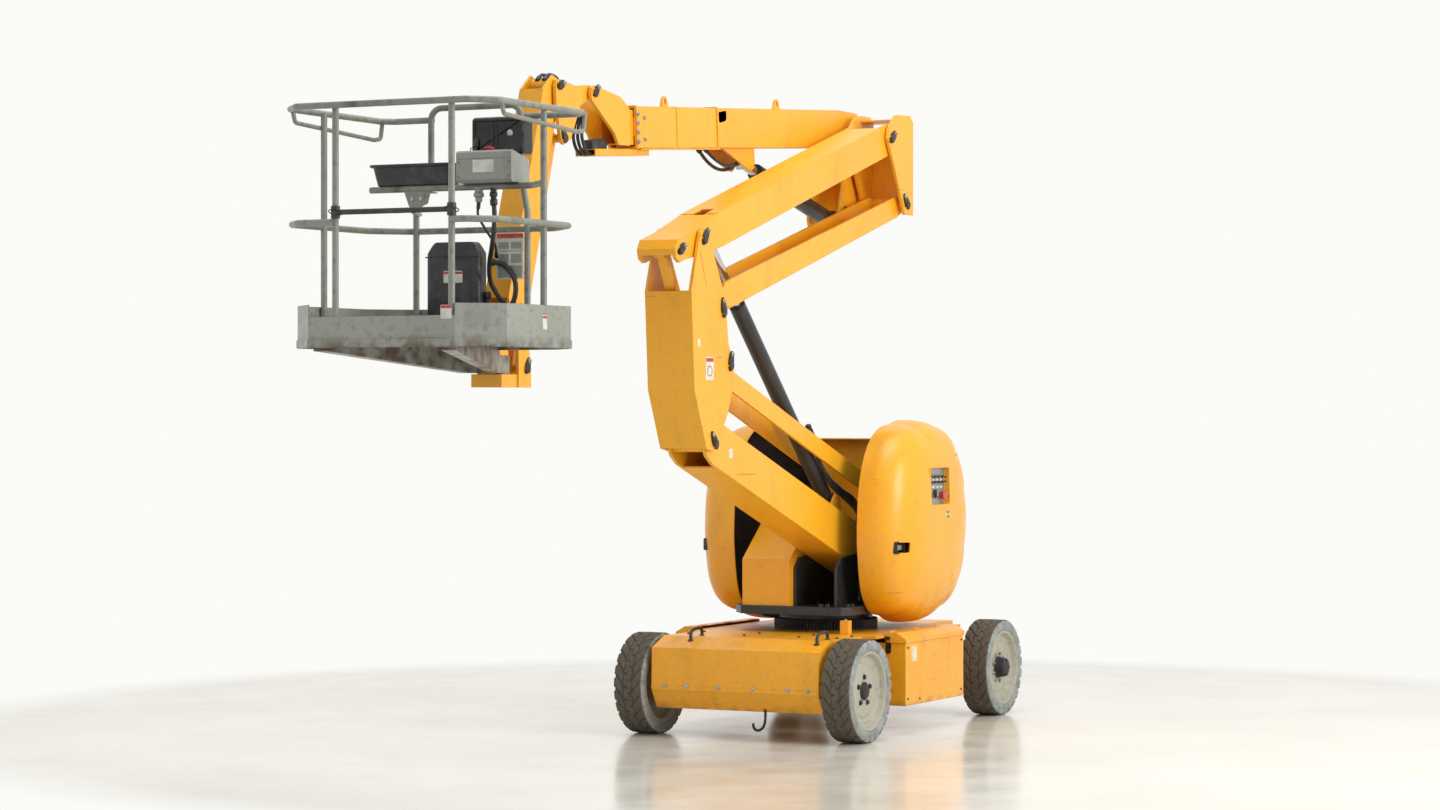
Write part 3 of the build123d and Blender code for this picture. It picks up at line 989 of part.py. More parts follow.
PARTS = (
    ("chassis_frame", chassis_frame, YELLOW), ("drive_hood", drive_hood, YELLOW), ("rear_axle", rear_axle, YELLOW),
    ("slew_ring", slew_ring, BLACK), ("turret_base", turret_base, BLACK), ("centre_cover", centre_cover, YELLOW),
    ("counterweight", counterweight, BLACK), ("rear_cover", rear_cover, YELLOW),
    ("lower_arm", lower_arm, YELLOW), ("lower_link", lower_link, YELLOW), ("mast", mast, YELLOW),
    ("timing_link", timing_link, YELLOW), ("upper_arm", upper_arm, YELLOW), ("upper_link", upper_link, YELLOW),
    ("rear_knuckle", rear_knuckle, YELLOW), ("lift_cylinder_barrel", lift_cylinder_barrel, BLACK),
    ("lift_cylinder_rod", lift_cylinder_rod, STEEL), ("boom_cylinder_barrel", boom_cylinder_barrel, BLACK),
    ("boom_cylinder_rod", boom_cylinder_rod, STEEL), ("boom_outer", boom_outer, YELLOW),
    ("boom_inner", boom_inner, YELLOW), ("jib_head", jib_head, YELLOW), ("jib_arm", jib_arm, YELLOW),
    ("jib_rod", jib_rod, YELLOW), ("basket_carrier", basket_carrier, YELLOW), ("basket_floor", basket_floor, GREY),
    ("basket_rails", basket_rails, GREY), ("entry_bar", entry_bar, BLACK), ("console", console, GREY),
    ("screen_hood", screen_hood, BLACK), ("tool_tray", tool_tray, BLACK), ("document_box", document_box, BLACK),
)


def main():
    os.makedirs("parts", exist_ok=True)
    for name, make, colour in PARTS:
        save(name, make(), colour)
    for name, side in SIDES:
        for end, x in (("front", AXLE_X), ("rear", -AXLE_X)):
            save(f"tyre_{end}_{name}", tyre(x, side), RUBBER)
            save(f"rim_{end}_{name}", rim(x, side), GREY)
        save(f"steer_knuckle_{name}", steer_knuckle(side), BLACK)
        save(f"battery_box_{name}", battery_box(side), YELLOW)
        save(f"battery_lid_{name}", battery_lid(side), YELLOW)
        save(f"battery_pack_{name}", battery_pack(side), BLACK)
        save(f"cowl_{name}", cowl(side), YELLOW)


main()
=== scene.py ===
import json
from math import cos, hypot, pi, radians, sin

import bmesh
import bpy
import numpy as np
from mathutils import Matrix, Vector


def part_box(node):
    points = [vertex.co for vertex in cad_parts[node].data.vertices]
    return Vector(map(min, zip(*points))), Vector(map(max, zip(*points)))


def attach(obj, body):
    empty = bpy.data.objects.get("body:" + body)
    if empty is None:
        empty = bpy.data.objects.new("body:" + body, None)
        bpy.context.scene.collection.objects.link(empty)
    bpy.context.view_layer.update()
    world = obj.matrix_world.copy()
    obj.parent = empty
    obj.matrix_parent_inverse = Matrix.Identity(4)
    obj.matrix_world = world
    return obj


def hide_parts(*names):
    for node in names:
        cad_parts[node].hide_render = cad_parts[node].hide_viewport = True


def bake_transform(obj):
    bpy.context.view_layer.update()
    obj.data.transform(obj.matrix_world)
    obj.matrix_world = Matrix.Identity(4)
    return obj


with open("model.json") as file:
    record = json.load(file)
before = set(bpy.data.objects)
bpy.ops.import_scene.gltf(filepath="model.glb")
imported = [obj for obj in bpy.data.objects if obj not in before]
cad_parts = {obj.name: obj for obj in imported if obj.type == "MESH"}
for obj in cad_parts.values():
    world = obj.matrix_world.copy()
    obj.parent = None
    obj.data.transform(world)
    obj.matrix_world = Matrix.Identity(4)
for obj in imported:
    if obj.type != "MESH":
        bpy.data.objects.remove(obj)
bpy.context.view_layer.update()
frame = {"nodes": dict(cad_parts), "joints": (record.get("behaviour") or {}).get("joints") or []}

# Articulating boom lift: finishes, treaded tyres, moulded cowls, fasteners, hoses and basket fittings.
# Metres throughout. +X points to the basket end, +Y to the machine's left, +Z up.

PIVOT = {joint["name"]: np.array(joint["pos_m"]) for joint in frame["joints"] if "pos_m" in joint}
X, Y, Z = np.eye(3)


def corners(node):
    """Lowest and highest corner of a CAD node, as arrays."""
    low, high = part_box(node)
    return np.array(low), np.array(high)


# ---------------------------------------------------------------- shapes
def faces_of_grid(rows, columns, wrap_rows=False):
    """Four-sided faces between neighbouring points of a grid whose columns go round."""
    row, column = np.meshgrid(np.arange(rows if wrap_rows else rows - 1), np.arange(columns), indexing="ij")
    below, beside = (row + 1) % rows, (column + 1) % columns
    quads = np.stack((row * columns + column, below * columns + column,
                      below * columns + beside, row * columns + beside), -1)
    return quads.reshape(-1, 4).tolist()


def skin(grid, closed=False):
    """A closed shell over a grid of rings: the ends get a flat cap, or the last ring meets the first."""
    rows, columns = grid.shape[:2]
    faces = faces_of_grid(rows, columns, closed)
    if not closed:
        faces += [list(range(columns)), list(range((rows - 1) * columns, rows * columns))]
    return grid.reshape(-1, 3), faces


def several(shells):
    """Many shells as one: each one's faces count on from the points before it."""
    points, faces, count = [], [], 0
    for shell_points, shell_faces in shells:
        points.append(shell_points)
        faces += [[corner + count for corner in face] for face in shell_faces]
        count += len(shell_points)
    return np.concatenate(points), faces


def copies(shell, offsets):
    """The same shell at every offset."""
    return several([(shell[0] + offset, shell[1]) for offset in np.atleast_2d(offsets)])


def mirrored(shell):
    """The same shell on the machine's other side, with Y turned about."""
    return shell[0] * (1, -1, 1), shell[1]


def across(axis):
    """Two directions square to an axis and to each other."""
    axis = np.asarray(axis, float) / np.linalg.norm(axis)
    first = np.cross(axis, Z if abs(axis[2]) < 0.9 else X)
    first /= np.linalg.norm(first)
    return axis, first, np.cross(axis, first)


def turned(section, centre, axis, steps=32, closed=False):
    """A section of (distance along the axis, radius) turned round the axis: each point sweeps a circle."""
    axis, first, second = across(axis)
    section = np.asarray(section, float)
    angle = np.linspace(0, 2 * pi, steps, endpoint=False)
    ring = np.cos(angle)[:, None] * first + np.sin(angle)[:, None] * second
    grid = np.asarray(centre) + section[:, None, :1] * axis + section[:, None, 1:] * ring
    return skin(grid, closed)


def disc(centre, axis, radius, thick, edge=0.0015, steps=32):
    """A round disc or pin with chamfered edges, standing on its centre along the axis."""
    return turned(((0, radius - edge), (edge, radius), (thick - edge, radius), (thick, radius - edge)),
                  centre, axis, steps)


def rounded(points, radius, steps=5):
    """A closed outline with each corner replaced by the quadratic curve between its two tangent points."""
    corner = np.asarray(points, float)
    before, after = np.roll(corner, 1, 0) - corner, np.roll(corner, -1, 0) - corner
    reach_before, reach_after = (np.linalg.norm(side, axis=1)[:, None] for side in (before, after))
    start = corner + before / reach_before * np.minimum(radius, reach_before * 0.45)
    end = corner + after / reach_after * np.minimum(radius, reach_after * 0.45)
    t = np.linspace(0, 1, steps)[None, :, None]
    curve = (1 - t) ** 2 * start[:, None] + 2 * t * (1 - t) * corner[:, None] + t ** 2 * end[:, None]
    return curve.reshape(-1, curve.shape[-1])


def drawn_in(outline, depth):
    """An outline moved inwards: each point goes along the mean of its two edges' inward normals."""
    edge = np.roll(outline, -1, 0) - outline
    normal = np.stack((-edge[:, 1], edge[:, 0]), -1) / np.maximum(np.linalg.norm(edge, axis=1), 1e-9)[:, None]
    area = np.sum(outline[:, 0] * np.roll(outline[:, 1], -1) - np.roll(outline[:, 0], -1) * outline[:, 1])
    mean = normal + np.roll(normal, 1, 0)
    mean /= np.maximum(np.linalg.norm(mean, axis=1), 1e-9)[:, None]
    return outline + mean * depth * np.sign(area)


def board(outline, thick, origin, right, up, edge=0.002):
    """A flat plate: its outline lies in the plane of right and up and is drawn in a little at both faces."""
    right, up = np.asarray(right, float), np.asarray(up, float)
    out = np.cross(right, up)
    outline = np.asarray(outline, float)
    inner = drawn_in(outline, edge)
    rings = [(inner, 0), (outline, edge), (outline, thick - edge), (inner, thick)]
    grid = np.array([np.asarray(origin) + ring[:, :1] * right + ring[:, 1:] * up + out * height
                     for ring, height in rings])
    return skin(grid)


def rectangle(width, height, radius=0.004):
    """A rectangle about its centre, with rounded corners."""
    w, h = width / 2, height / 2
    return rounded(((-w, -h), (w, -h), (w, h), (-w, h)), radius)


def brick(low, high, radius=0.004, edge=0.002):
    """A box between two corners with rounded upright edges and softened rims."""
    low, high = np.asarray(low, float), np.asarray(high, float)
    middle = (low + high) / 2
    return board(rectangle(high[0] - low[0], high[1] - low[1], radius), high[2] - low[2],
                 (middle[0], middle[1], low[2]), X, Y, edge)


def flowing(points, per_span=8):
    """A smooth line through the points: each span is the cubic set by its two ends and their neighbours."""
    p = np.asarray(points, float)
    p = np.concatenate((2 * p[:1] - p[1:2], p, 2 * p[-1:] - p[-2:-1]))
    a, b, c, d = p[:-3, None], p[1:-2, None], p[2:-1, None], p[3:, None]
    t = np.linspace(0, 1, per_span, endpoint=False)[None, :, None]
    line = 0.5 * (2 * b + (c - a) * t + (2 * a - 5 * b + 4 * c - d) * t ** 2 + (3 * b - a - 3 * c + d)
                  * t ** 3)
    return np.concatenate((line.reshape(-1, 3), p[-2:-1]))


def carried(line, profile, side):
    """A flat profile carried along a line: one of its axes is square to the line and to side, the other
    to both."""
    line, profile = np.asarray(line, float), np.asarray(profile, float)
    along = np.gradient(line, axis=0)
    along /= np.linalg.norm(along, axis=1)[:, None]
    out = np.cross(along, side)
    out /= np.linalg.norm(out, axis=1)[:, None]
    up = np.cross(out, along)
    return skin(line[:, None] + profile[None, :, :1] * out[:, None] + profile[None, :, 1:] * up[:, None])


def circle(radius, steps=14):
    angle = np.linspace(0, 2 * pi, steps, endpoint=False)
    return np.stack((np.cos(angle), np.sin(angle)), -1) * radius


def bar(points, radius, side, per_span=8, steps=14):
    """A round bar, tube or hose through the points."""
    return carried(flowing(points, per_span), circle(radius, steps), side)


def bolts(centres, axis, size, height=None):
    """Hexagon heads on washers: a six-sided ring chamfered at the top, on a flat disc."""
    height = height or size * 0.65
    head = turned(((size * 0.2, size * 0.58), (height * 0.85, size * 0.58), (height, size * 0.47)), (0, 0, 0),
                  axis, 6)
    washer = turned(((0, size * 0.82), (size * 0.16, size * 0.82), (size * 0.22, size * 0.76)), (0, 0, 0),
                    axis, 18)
    return copies(several((head, washer)), centres)


# ---------------------------------------------------------------- making pieces
def piece(name, body, dressed, sharp=32, weld=False):
    """One mesh object from (shell, material) pairs; its faces look outwards and it rides on a body."""
    shells = [shell for shell, material in dressed]
    points, faces = several(shells)
    mesh = bpy.data.meshes.new(name)
    mesh.from_pydata(points.tolist(), [], faces)
    owner = np.repeat(np.arange(len(shells)), [len(shell[1]) for shell in shells])
    names = list(dict.fromkeys(material.name for shell, material in dressed))
    slot_of = np.array([names.index(material.name) for shell, material in dressed])
    for material_name in names:
        mesh.materials.append(bpy.data.materials[material_name])
    mesh.polygons.foreach_set("material_index", slot_of[owner].astype(np.int32))
    mesh.polygons.foreach_set("use_smooth", np.ones(len(mesh.polygons), bool))
    shape = bmesh.new()
    shape.from_mesh(mesh)
    if weld:
        bmesh.ops.remove_doubles(shape, verts=shape.verts, dist=0.00001)
        bmesh.ops.delete(shape, geom=[point for point in shape.verts if not point.link_faces],
                         context="VERTS")
    bmesh.ops.recalc_face_normals(shape, faces=shape.faces)
    shape.to_mesh(mesh)
    shape.free()
    mesh.set_sharp_from_angle(angle=radians(sharp))
    thing = bpy.data.objects.new(name, mesh)
    bpy.context.scene.collection.objects.link(thing)
    if body:
        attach(thing, body)
    return thing


# ---------------------------------------------------------------- finishes
def colour(code):
    """An sRGB hex colour as linear red, green and blue with full cover."""
    value = np.array([int(code[i:i + 2], 16) for i in (1, 3, 5)]) / 255
    linear = np.where(value <= 0.04045, value / 12.92, ((value + 0.055) / 1.055) ** 2.4)
    return (*linear.tolist(), 1.0)


def add(tree, kind, sockets=None, **settings):
    """Add a node, set it up, and link or fill its sockets."""
    made = tree.nodes.new(kind)
    for name, value in settings.items():
        setattr(made, name, value)
    for name, value in (sockets or {}).items():
        if isinstance(value, bpy.types.NodeSocket):
            tree.links.new(value, made.inputs[name])
        else:
            made.inputs[name].default_value = value
    return made


def finish(name, **shader):
    """A new material: its tree, its surface shader with the given sockets, and its object coordinates."""
    material = bpy.data.materials.new(name)
    material.use_nodes = True
    tree = material.node_tree
    surface = tree.nodes["Principled BSDF"]
    for socket, value in shader.items():
        surface.inputs[socket.replace("_", " ")].default_value = value
    return material, tree, surface, add(tree, "ShaderNodeTexCoord").outputs["Object"]


def noise(tree, place, per_metre, detail=3.0, stretch=(1, 1, 1), turn=(0, 0, 0)):
    """Cloudy pattern with so many blotches to a metre."""
    moved = add(tree, "ShaderNodeMapping", {"Vector": place, "Scale": stretch, "Rotation": turn})
    cloud = add(tree, "ShaderNodeTexNoise", {"Vector": moved.outputs["Vector"], "Scale": per_metre,
                                             "Detail": detail})
    return cloud.outputs["Fac"]


def between(tree, value, low, high, out_low=0.0, out_high=1.0):
    """A value spread from one range to another, held at its ends."""
    return add(tree, "ShaderNodeMapRange", {"Value": value, "From Min": low, "From Max": high,
                                            "To Min": out_low, "To Max": out_high}).outputs["Result"]


def sums(tree, operation, first, second=0.5):
    """Two values put together by one sum."""
    return add(tree, "ShaderNodeMath", {0: first, 1: second}, operation=operation).outputs["Value"]


def over(tree, amount, below, above, blend="MIX"):
    """One colour laid over another by an amount."""
    mixed = add(tree, "ShaderNodeMix", data_type="RGBA", blend_type=blend)
    for index, value in ((0, amount), (6, below), (7, above)):
        if isinstance(value, bpy.types.NodeSocket):
            tree.links.new(value, mixed.inputs[index])
        else:
            mixed.inputs[index].default_value = value
    return mixed.outputs[2]


def worn_edges(tree, radius, low, high):
    """How near a point is to an outer edge: the rounded normal turns away from the flat one there."""
    soft = add(tree, "ShaderNodeBevel", {"Radius": radius}, samples=4).outputs["Normal"]
    flat = add(tree, "ShaderNodeNewGeometry").outputs["Normal"]
    same = add(tree, "ShaderNodeVectorMath", {0: soft, 1: flat}, operation="DOT_PRODUCT").outputs["Value"]
    return soft, between(tree, same, high, low)


def enamel(name, base, shade, dirt, bare, grime=0.25, chips=0.5, rough=0.36, scratch=0.5, low_dirt=None):
    """Sprayed enamel on welded steel: faded in broad blotches, scuffed by thin strokes, chipped to bare metal
    at its edges.

    Orange peel is about 3 mm in truth and drawn at 6 mm, so that it still shows from a few metres.
    """
    material, tree, surface, place = finish(name, IOR=1.5, Coat_Weight=0.12, Coat_Roughness=0.18)
    broad = between(tree, noise(tree, place, 1.1, 2.0), 0.35, 0.68)
    paint = over(tree, broad, colour(base), colour(shade))
    mottled = between(tree, noise(tree, place, 26.0, 5.0), 0.52, 0.80, 0.0, grime)
    paint = over(tree, mottled, paint, colour(dirt))
    streaks = between(tree, noise(tree, place, 5.5, 6.0, (1, 1, 0.35)), 0.56, 0.74, 0.0, grime * 1.2)
    paint = over(tree, streaks, paint, colour(dirt))
    strokes = between(tree, noise(tree, place, 2.6, 4.0, (1.2, 1.2, 34.0), (0.35, 0.25, 0.0)), 0.685, 0.70)
    patches = between(tree, noise(tree, place, 2.2, 2.0), 0.52, 0.62)
    strokes = sums(tree, "MULTIPLY", strokes, sums(tree, "MULTIPLY", patches, scratch))
    paint = over(tree, strokes, paint, colour(bare))
    soft, edge = worn_edges(tree, 0.006, 0.72, 0.97)
    flakes = between(tree, noise(tree, place, 46.0, 6.0), 0.50, 0.56)
    spots = between(tree, noise(tree, place, 90.0, 3.0), 0.735, 0.75, 0.0, chips)
    spots = sums(tree, "MULTIPLY", spots, patches)
    worn = sums(tree, "MAXIMUM", sums(tree, "MULTIPLY", sums(tree, "MULTIPLY", edge, flakes), chips), spots)
    paint = over(tree, worn, paint, colour(bare))
    if low_dirt:
        height = add(tree, "ShaderNodeSeparateXYZ", {0: place}).outputs["Z"]
        near = between(tree, height, low_dirt[0], low_dirt[1], low_dirt[2], 0.0)
        near = sums(tree, "MULTIPLY", near, between(tree, noise(tree, place, 14.0, 6.0), 0.40, 0.62))
        paint = over(tree, near, paint, colour(bare))
    tree.links.new(paint, surface.inputs["Base Color"])
    gloss = between(tree, noise(tree, place, 9.0, 4.0), 0.3, 0.7, rough - 0.06, rough + 0.10)
    tree.links.new(sums(tree, "MAXIMUM", gloss, sums(tree, "MULTIPLY", worn, 0.8)),
                   surface.inputs["Roughness"])
    peel = noise(tree, place, 160.0, 2.0)
    height = sums(tree, "SUBTRACT", sums(tree, "MULTIPLY", peel, 0.10), sums(tree, "MULTIPLY", worn, 0.5))
    bump = add(tree, "ShaderNodeBump", {"Strength": 0.35, "Distance": 0.0012, "Height": height,
                                        "Normal": soft})
    tree.links.new(bump.outputs["Normal"], surface.inputs["Normal"])
    return material


def plain_stuff(name, base, shade, rough, metallic=0.0, per_metre=40.0, bumps=0.25, depth=0.0006, ior=1.5,
                edge=0.0025, spread=0.12, dusty=None):
    """One stuff right through: two near colours in blotches, a grain of its own scale, and softened edges."""
    material, tree, surface, place = finish(name, Metallic=metallic)
    if not metallic:
        surface.inputs["IOR"].default_value = ior
    mixed = over(tree, between(tree, noise(tree, place, per_metre * 0.3, 4.0), 0.35, 0.65), colour(base),
                 colour(shade))
    if dusty:
        mixed = over(tree, between(tree, noise(tree, place, 18.0, 6.0), 0.48, 0.72, 0.0, dusty[1]), mixed,
                     colour(dusty[0]))
    tree.links.new(mixed, surface.inputs["Base Color"])
    tree.links.new(between(tree, noise(tree, place, per_metre, 3.0), 0.3, 0.7, rough - spread / 2,
                           rough + spread / 2), surface.inputs["Roughness"])
    soft = add(tree, "ShaderNodeBevel", {"Radius": edge}, samples=3).outputs["Normal"]
    bump = add(tree, "ShaderNodeBump", {"Strength": bumps, "Distance": depth, "Normal": soft,
                                        "Height": noise(tree, place, per_metre * 4, 2.0)})
    tree.links.new(bump.outputs["Normal"], surface.inputs["Normal"])
    return material


# Two-coat yellow enamel: warm, faintly orange where it has faded, with brown primer and dark steel at chips.
YELLOW = enamel("yellow_enamel", "#F5B024", "#F0A81B", "#8A5A12", "#4A3826", grime=0.16, chips=0.80)
# The same enamel round the wheels, where floor dirt and knocks have left it rough.
YELLOW_LOW = enamel("yellow_enamel_low", "#F4AE22", "#EFA61A", "#8A5A12", "#54432F", grime=0.22, chips=0.90,
                    low_dirt=(0.165, 0.215, 0.5))
# Moulded cowls: the same yellow in glass-fibre plastic, with fine dark scratches and hardly a chip.
COWL_YELLOW = enamel("yellow_gel_coat", "#F2AC20", "#EDA418", "#6E4A1C", "#4A3826", grime=0.16, chips=0.25,
                     rough=0.33)
# Basket enamel: pale green-grey over galvanised steel, with rust where boots and kerbs have hit it.
BASKET_GREY = enamel("basket_grey_enamel", "#9B9E94", "#8E9288", "#5E564A", "#5A4030", grime=0.55, chips=1.0,
                     rough=0.42, scratch=0.9, low_dirt=(2.185, 2.245, 0.85))
# Tube of the rails: the same grey, rubbed darker along its top by gloves.
RAIL_GREY = enamel("rail_grey_enamel", "#8F9289", "#7F8178", "#4A463E", "#3E342A", grime=0.75, chips=1.0,
                   rough=0.40, scratch=0.9)
# Wheel enamel: cream grey with a film of dust.
RIM_CREAM = enamel("wheel_cream_enamel", "#B5B3A4", "#A9A797", "#7C7462", "#6A5134", grime=0.5, chips=0.8,
                   rough=0.46)
# Satin black chassis paint over thick plate.
BLACK_PAINT = enamel("black_chassis_paint", "#26272A", "#1D1E20", "#4B453B", "#5F5A52", grime=0.35, chips=0.5,
                     rough=0.45)
# Cast iron, painted black and dull.
BLACK_IRON = plain_stuff("black_cast_iron", "#27272A", "#1D1D1F", 0.62, per_metre=60, bumps=0.5, depth=0.0012)
# Press-blackened pin plates: oily, with a soft shine.
OILED_STEEL = plain_stuff("blackened_steel", "#2A2826", "#1B1A19", 0.38, 0.35, per_metre=50,
                          dusty=("#5C5044", 0.5))
# Zinc-plated bolts.
ZINC = plain_stuff("zinc_plated_steel", "#B9B7B0", "#A19F98", 0.36, 1.0, per_metre=80)
# Hard-chromed piston rod: nearly a mirror.
CHROME = plain_stuff("hard_chrome", "#D2D2D4", "#C4C4C8", 0.14, 1.0, per_metre=30, bumps=0.05, spread=0.06)
# Black oil-resistant hose.
HOSE = plain_stuff("black_hose_rubber", "#1B1B1C", "#262626", 0.48, per_metre=60, dusty=("#4D4A45", 0.35))
# Moulded black polyethylene with a fine grain.
PLASTIC = plain_stuff("black_moulded_plastic", "#202224", "#2B2E30", 0.42, per_metre=70,
                      dusty=("#6B6A64", 0.30))
# Glossy black box lid.
GLOSS_PLASTIC = plain_stuff("black_gloss_plastic", "#121315", "#1A1B1D", 0.20, per_metre=40, bumps=0.1)
# Powder-coated control box.
CONSOLE_GREY = enamel("console_grey_coat", "#9DA19A", "#949890", "#5E5A50", "#4B443A", grime=0.30, chips=0.7,
                      rough=0.40)
# Blank vinyl label: off-white, matt, faintly dirty.
LABEL = plain_stuff("blank_vinyl_label", "#E6E5DC", "#D6D6CE", 0.55, per_metre=30, bumps=0.05,
                    dusty=("#9B968A", 0.35))
# Label on the cowl: clear film with a pale yellow print, worn to almost nothing.
PALE_LABEL = plain_stuff("blank_pale_label", "#EBD9A0", "#E2CB86", 0.45, per_metre=30, bumps=0.05)
# Red band of a label and the stop button.
RED = plain_stuff("red_plastic", "#C8372F", "#B52A26", 0.42, per_metre=40, bumps=0.1, dusty=("#B9A79B", 0.25))
# Anodised control plate.
PANEL = plain_stuff("satin_aluminium_plate", "#A9ABA8", "#9B9D9B", 0.42, 0.6, per_metre=60, bumps=0.1)
# Inside of the cowls: painted shade, a dark brown for the shade that falls inside the hollow shells, with no
# shine.
COWL_INSIDE_PAINTED_SHADE = plain_stuff("dark_sound_coat", "#2C2119", "#1E1712", 0.75, per_metre=40, bumps=0.6, depth=0.002)
# Tread: solid rubber with brown floor dust ground in.
TREAD = plain_stuff("dusty_tread_rubber", "#5A5448", "#4A453B", 0.80, per_metre=60, bumps=0.7, depth=0.0015,
                    dusty=("#6F675A", 0.7))
# Sidewall: the same non-marking rubber, scuffed pale blue-grey.
SIDEWALL = plain_stuff("pale_sidewall_rubber", "#9BA1A0", "#878C8A", 0.72, per_metre=50, bumps=0.6,
                       depth=0.0015, dusty=("#6A665C", 0.55))


def cad_finish(material, *nodes):
    """Give CAD nodes a finish."""
    for node in nodes:
        slots = frame["nodes"][node].data.materials
        slots.clear()
        slots.append(material)


cad_finish(YELLOW, "rear_cover", "centre_cover", "lower_arm", "lower_link", "mast", "timing_link",
           "upper_arm", "upper_link", "rear_knuckle", "boom_outer", "boom_inner", "jib_head", "jib_arm",
           "jib_rod", "basket_carrier")
cad_finish(YELLOW_LOW, "chassis_frame", "drive_hood", "battery_box_left", "battery_box_right",
           "battery_lid_left", "battery_lid_right")
cad_finish(BLACK_PAINT, "rear_axle", "turret_base", "steer_knuckle_left", "steer_knuckle_right",
           "lift_cylinder_barrel", "boom_cylinder_barrel")
cad_finish(BLACK_IRON, "counterweight", "slew_ring", "battery_pack_left", "battery_pack_right")
cad_finish(CHROME, "lift_cylinder_rod", "boom_cylinder_rod")
cad_finish(BASKET_GREY, "basket_floor")
cad_finish(RAIL_GREY, "basket_rails")
cad_finish(PLASTIC, "entry_bar")
cad_finish(CONSOLE_GREY, "console")
cad_finish(GLOSS_PLASTIC, "screen_hood")
cad_finish(PLASTIC, "tool_tray", "document_box")

# ---------------------------------------------------------------- wheels
TYRE_HALF, TYRE_RADIUS, BEAD = 0.093, 0.293, 0.2262
LUGS = 24


def cut_depth(angle, across_width):
    """Tread depth from 0 to 1: a slanting cut a pitch, each half of the width shifted by half a pitch, wider
    towards the shoulder, and a zigzag channel at each third; angle and width are arrays of one shape."""
    turn = angle / (2 * pi) * LUGS
    side = np.abs(across_width)
    phase = turn + 0.5 * (across_width < 0) - 0.85 * side ** 1.4 + 0.16 * np.sin(side * 7)
    off = np.abs(phase % 1 - 0.5)
    width = 0.055 + 0.11 * np.clip((side - 0.55) / 0.45, 0, 1)
    lateral = np.clip((width - off) / 0.035 + 0.5, 0, 1) * (side > 0.06)
    zigzag = 0.30 + 0.10 * (np.abs(turn * 2 % 2 - 1) - 0.5)
    channel = np.clip((0.035 - np.abs(side - zigzag)) / 0.03 + 0.5, 0, 1)
    return np.maximum(lateral, channel * 0.8)


def tyre(end, side):
    """A solid tyre: the section of crown, rounded shoulders and flanks turned round the axle, and the crown
    and shoulders pushed in along their normals where the tread is cut."""
    centre = PIVOT[f"wheel_{end}_{side}_spin"]
    bend = np.linspace(0, pi / 2, 7)
    reach, shoulder = TYRE_HALF - 0.020, 0.020
    arc = np.stack((reach + shoulder * np.sin(bend), TYRE_RADIUS - shoulder * (1 - np.cos(bend))), -1)
    flat = np.linspace(-reach, reach, 40)
    crown = np.stack((flat, TYRE_RADIUS - 0.0012 * (flat / reach) ** 2), -1)
    flank = np.array([(TYRE_HALF + 0.0005, 0.262), (TYRE_HALF + 0.0005, 0.246), (0.0905, 0.233),
                      (0.087, BEAD)])
    half = np.concatenate((arc[1:], flank))
    section = np.concatenate((half[::-1] * (-1, 1), crown, half))
    slope = np.concatenate((bend[1:], np.full(4, pi / 2)))
    lean = np.concatenate((-slope[::-1], flat * 0, slope))
    fade = np.concatenate((np.ones(6), (0.35, 0, 0, 0)))
    fade = np.concatenate((fade[::-1], np.ones(40), fade))
    angle = np.linspace(0, 2 * pi, LUGS * 20, endpoint=False)
    cut = cut_depth(angle[None] + 0 * section[:, :1], section[:, :1] / TYRE_HALF + 0 * angle[None])
    depth = cut * fade[:, None] * 0.0075
    width = section[:, :1] - depth * np.sin(lean)[:, None]
    radius = section[:, 1:] - depth * np.cos(lean)[:, None]
    grid = centre + width[..., None] * Y + radius[..., None] * (
        np.cos(angle)[None, :, None] * X + np.sin(angle)[None, :, None] * Z)
    rows, columns = grid.shape[:2]
    points, faces = grid.reshape(-1, 3), faces_of_grid(rows, columns, True)
    top, end_top = 7 * columns, (rows - 8) * columns
    crown_shell = (points, faces[top:end_top])
    flank_shell = (points, faces[:top] + faces[end_top:])
    made = piece(f"treaded_tyre_{end}_{side}", f"wheel_{end}_{side}",
                 [(crown_shell, TREAD), (flank_shell, SIDEWALL)], 40, weld=True)
    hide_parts(f"tyre_{end}_{side}")


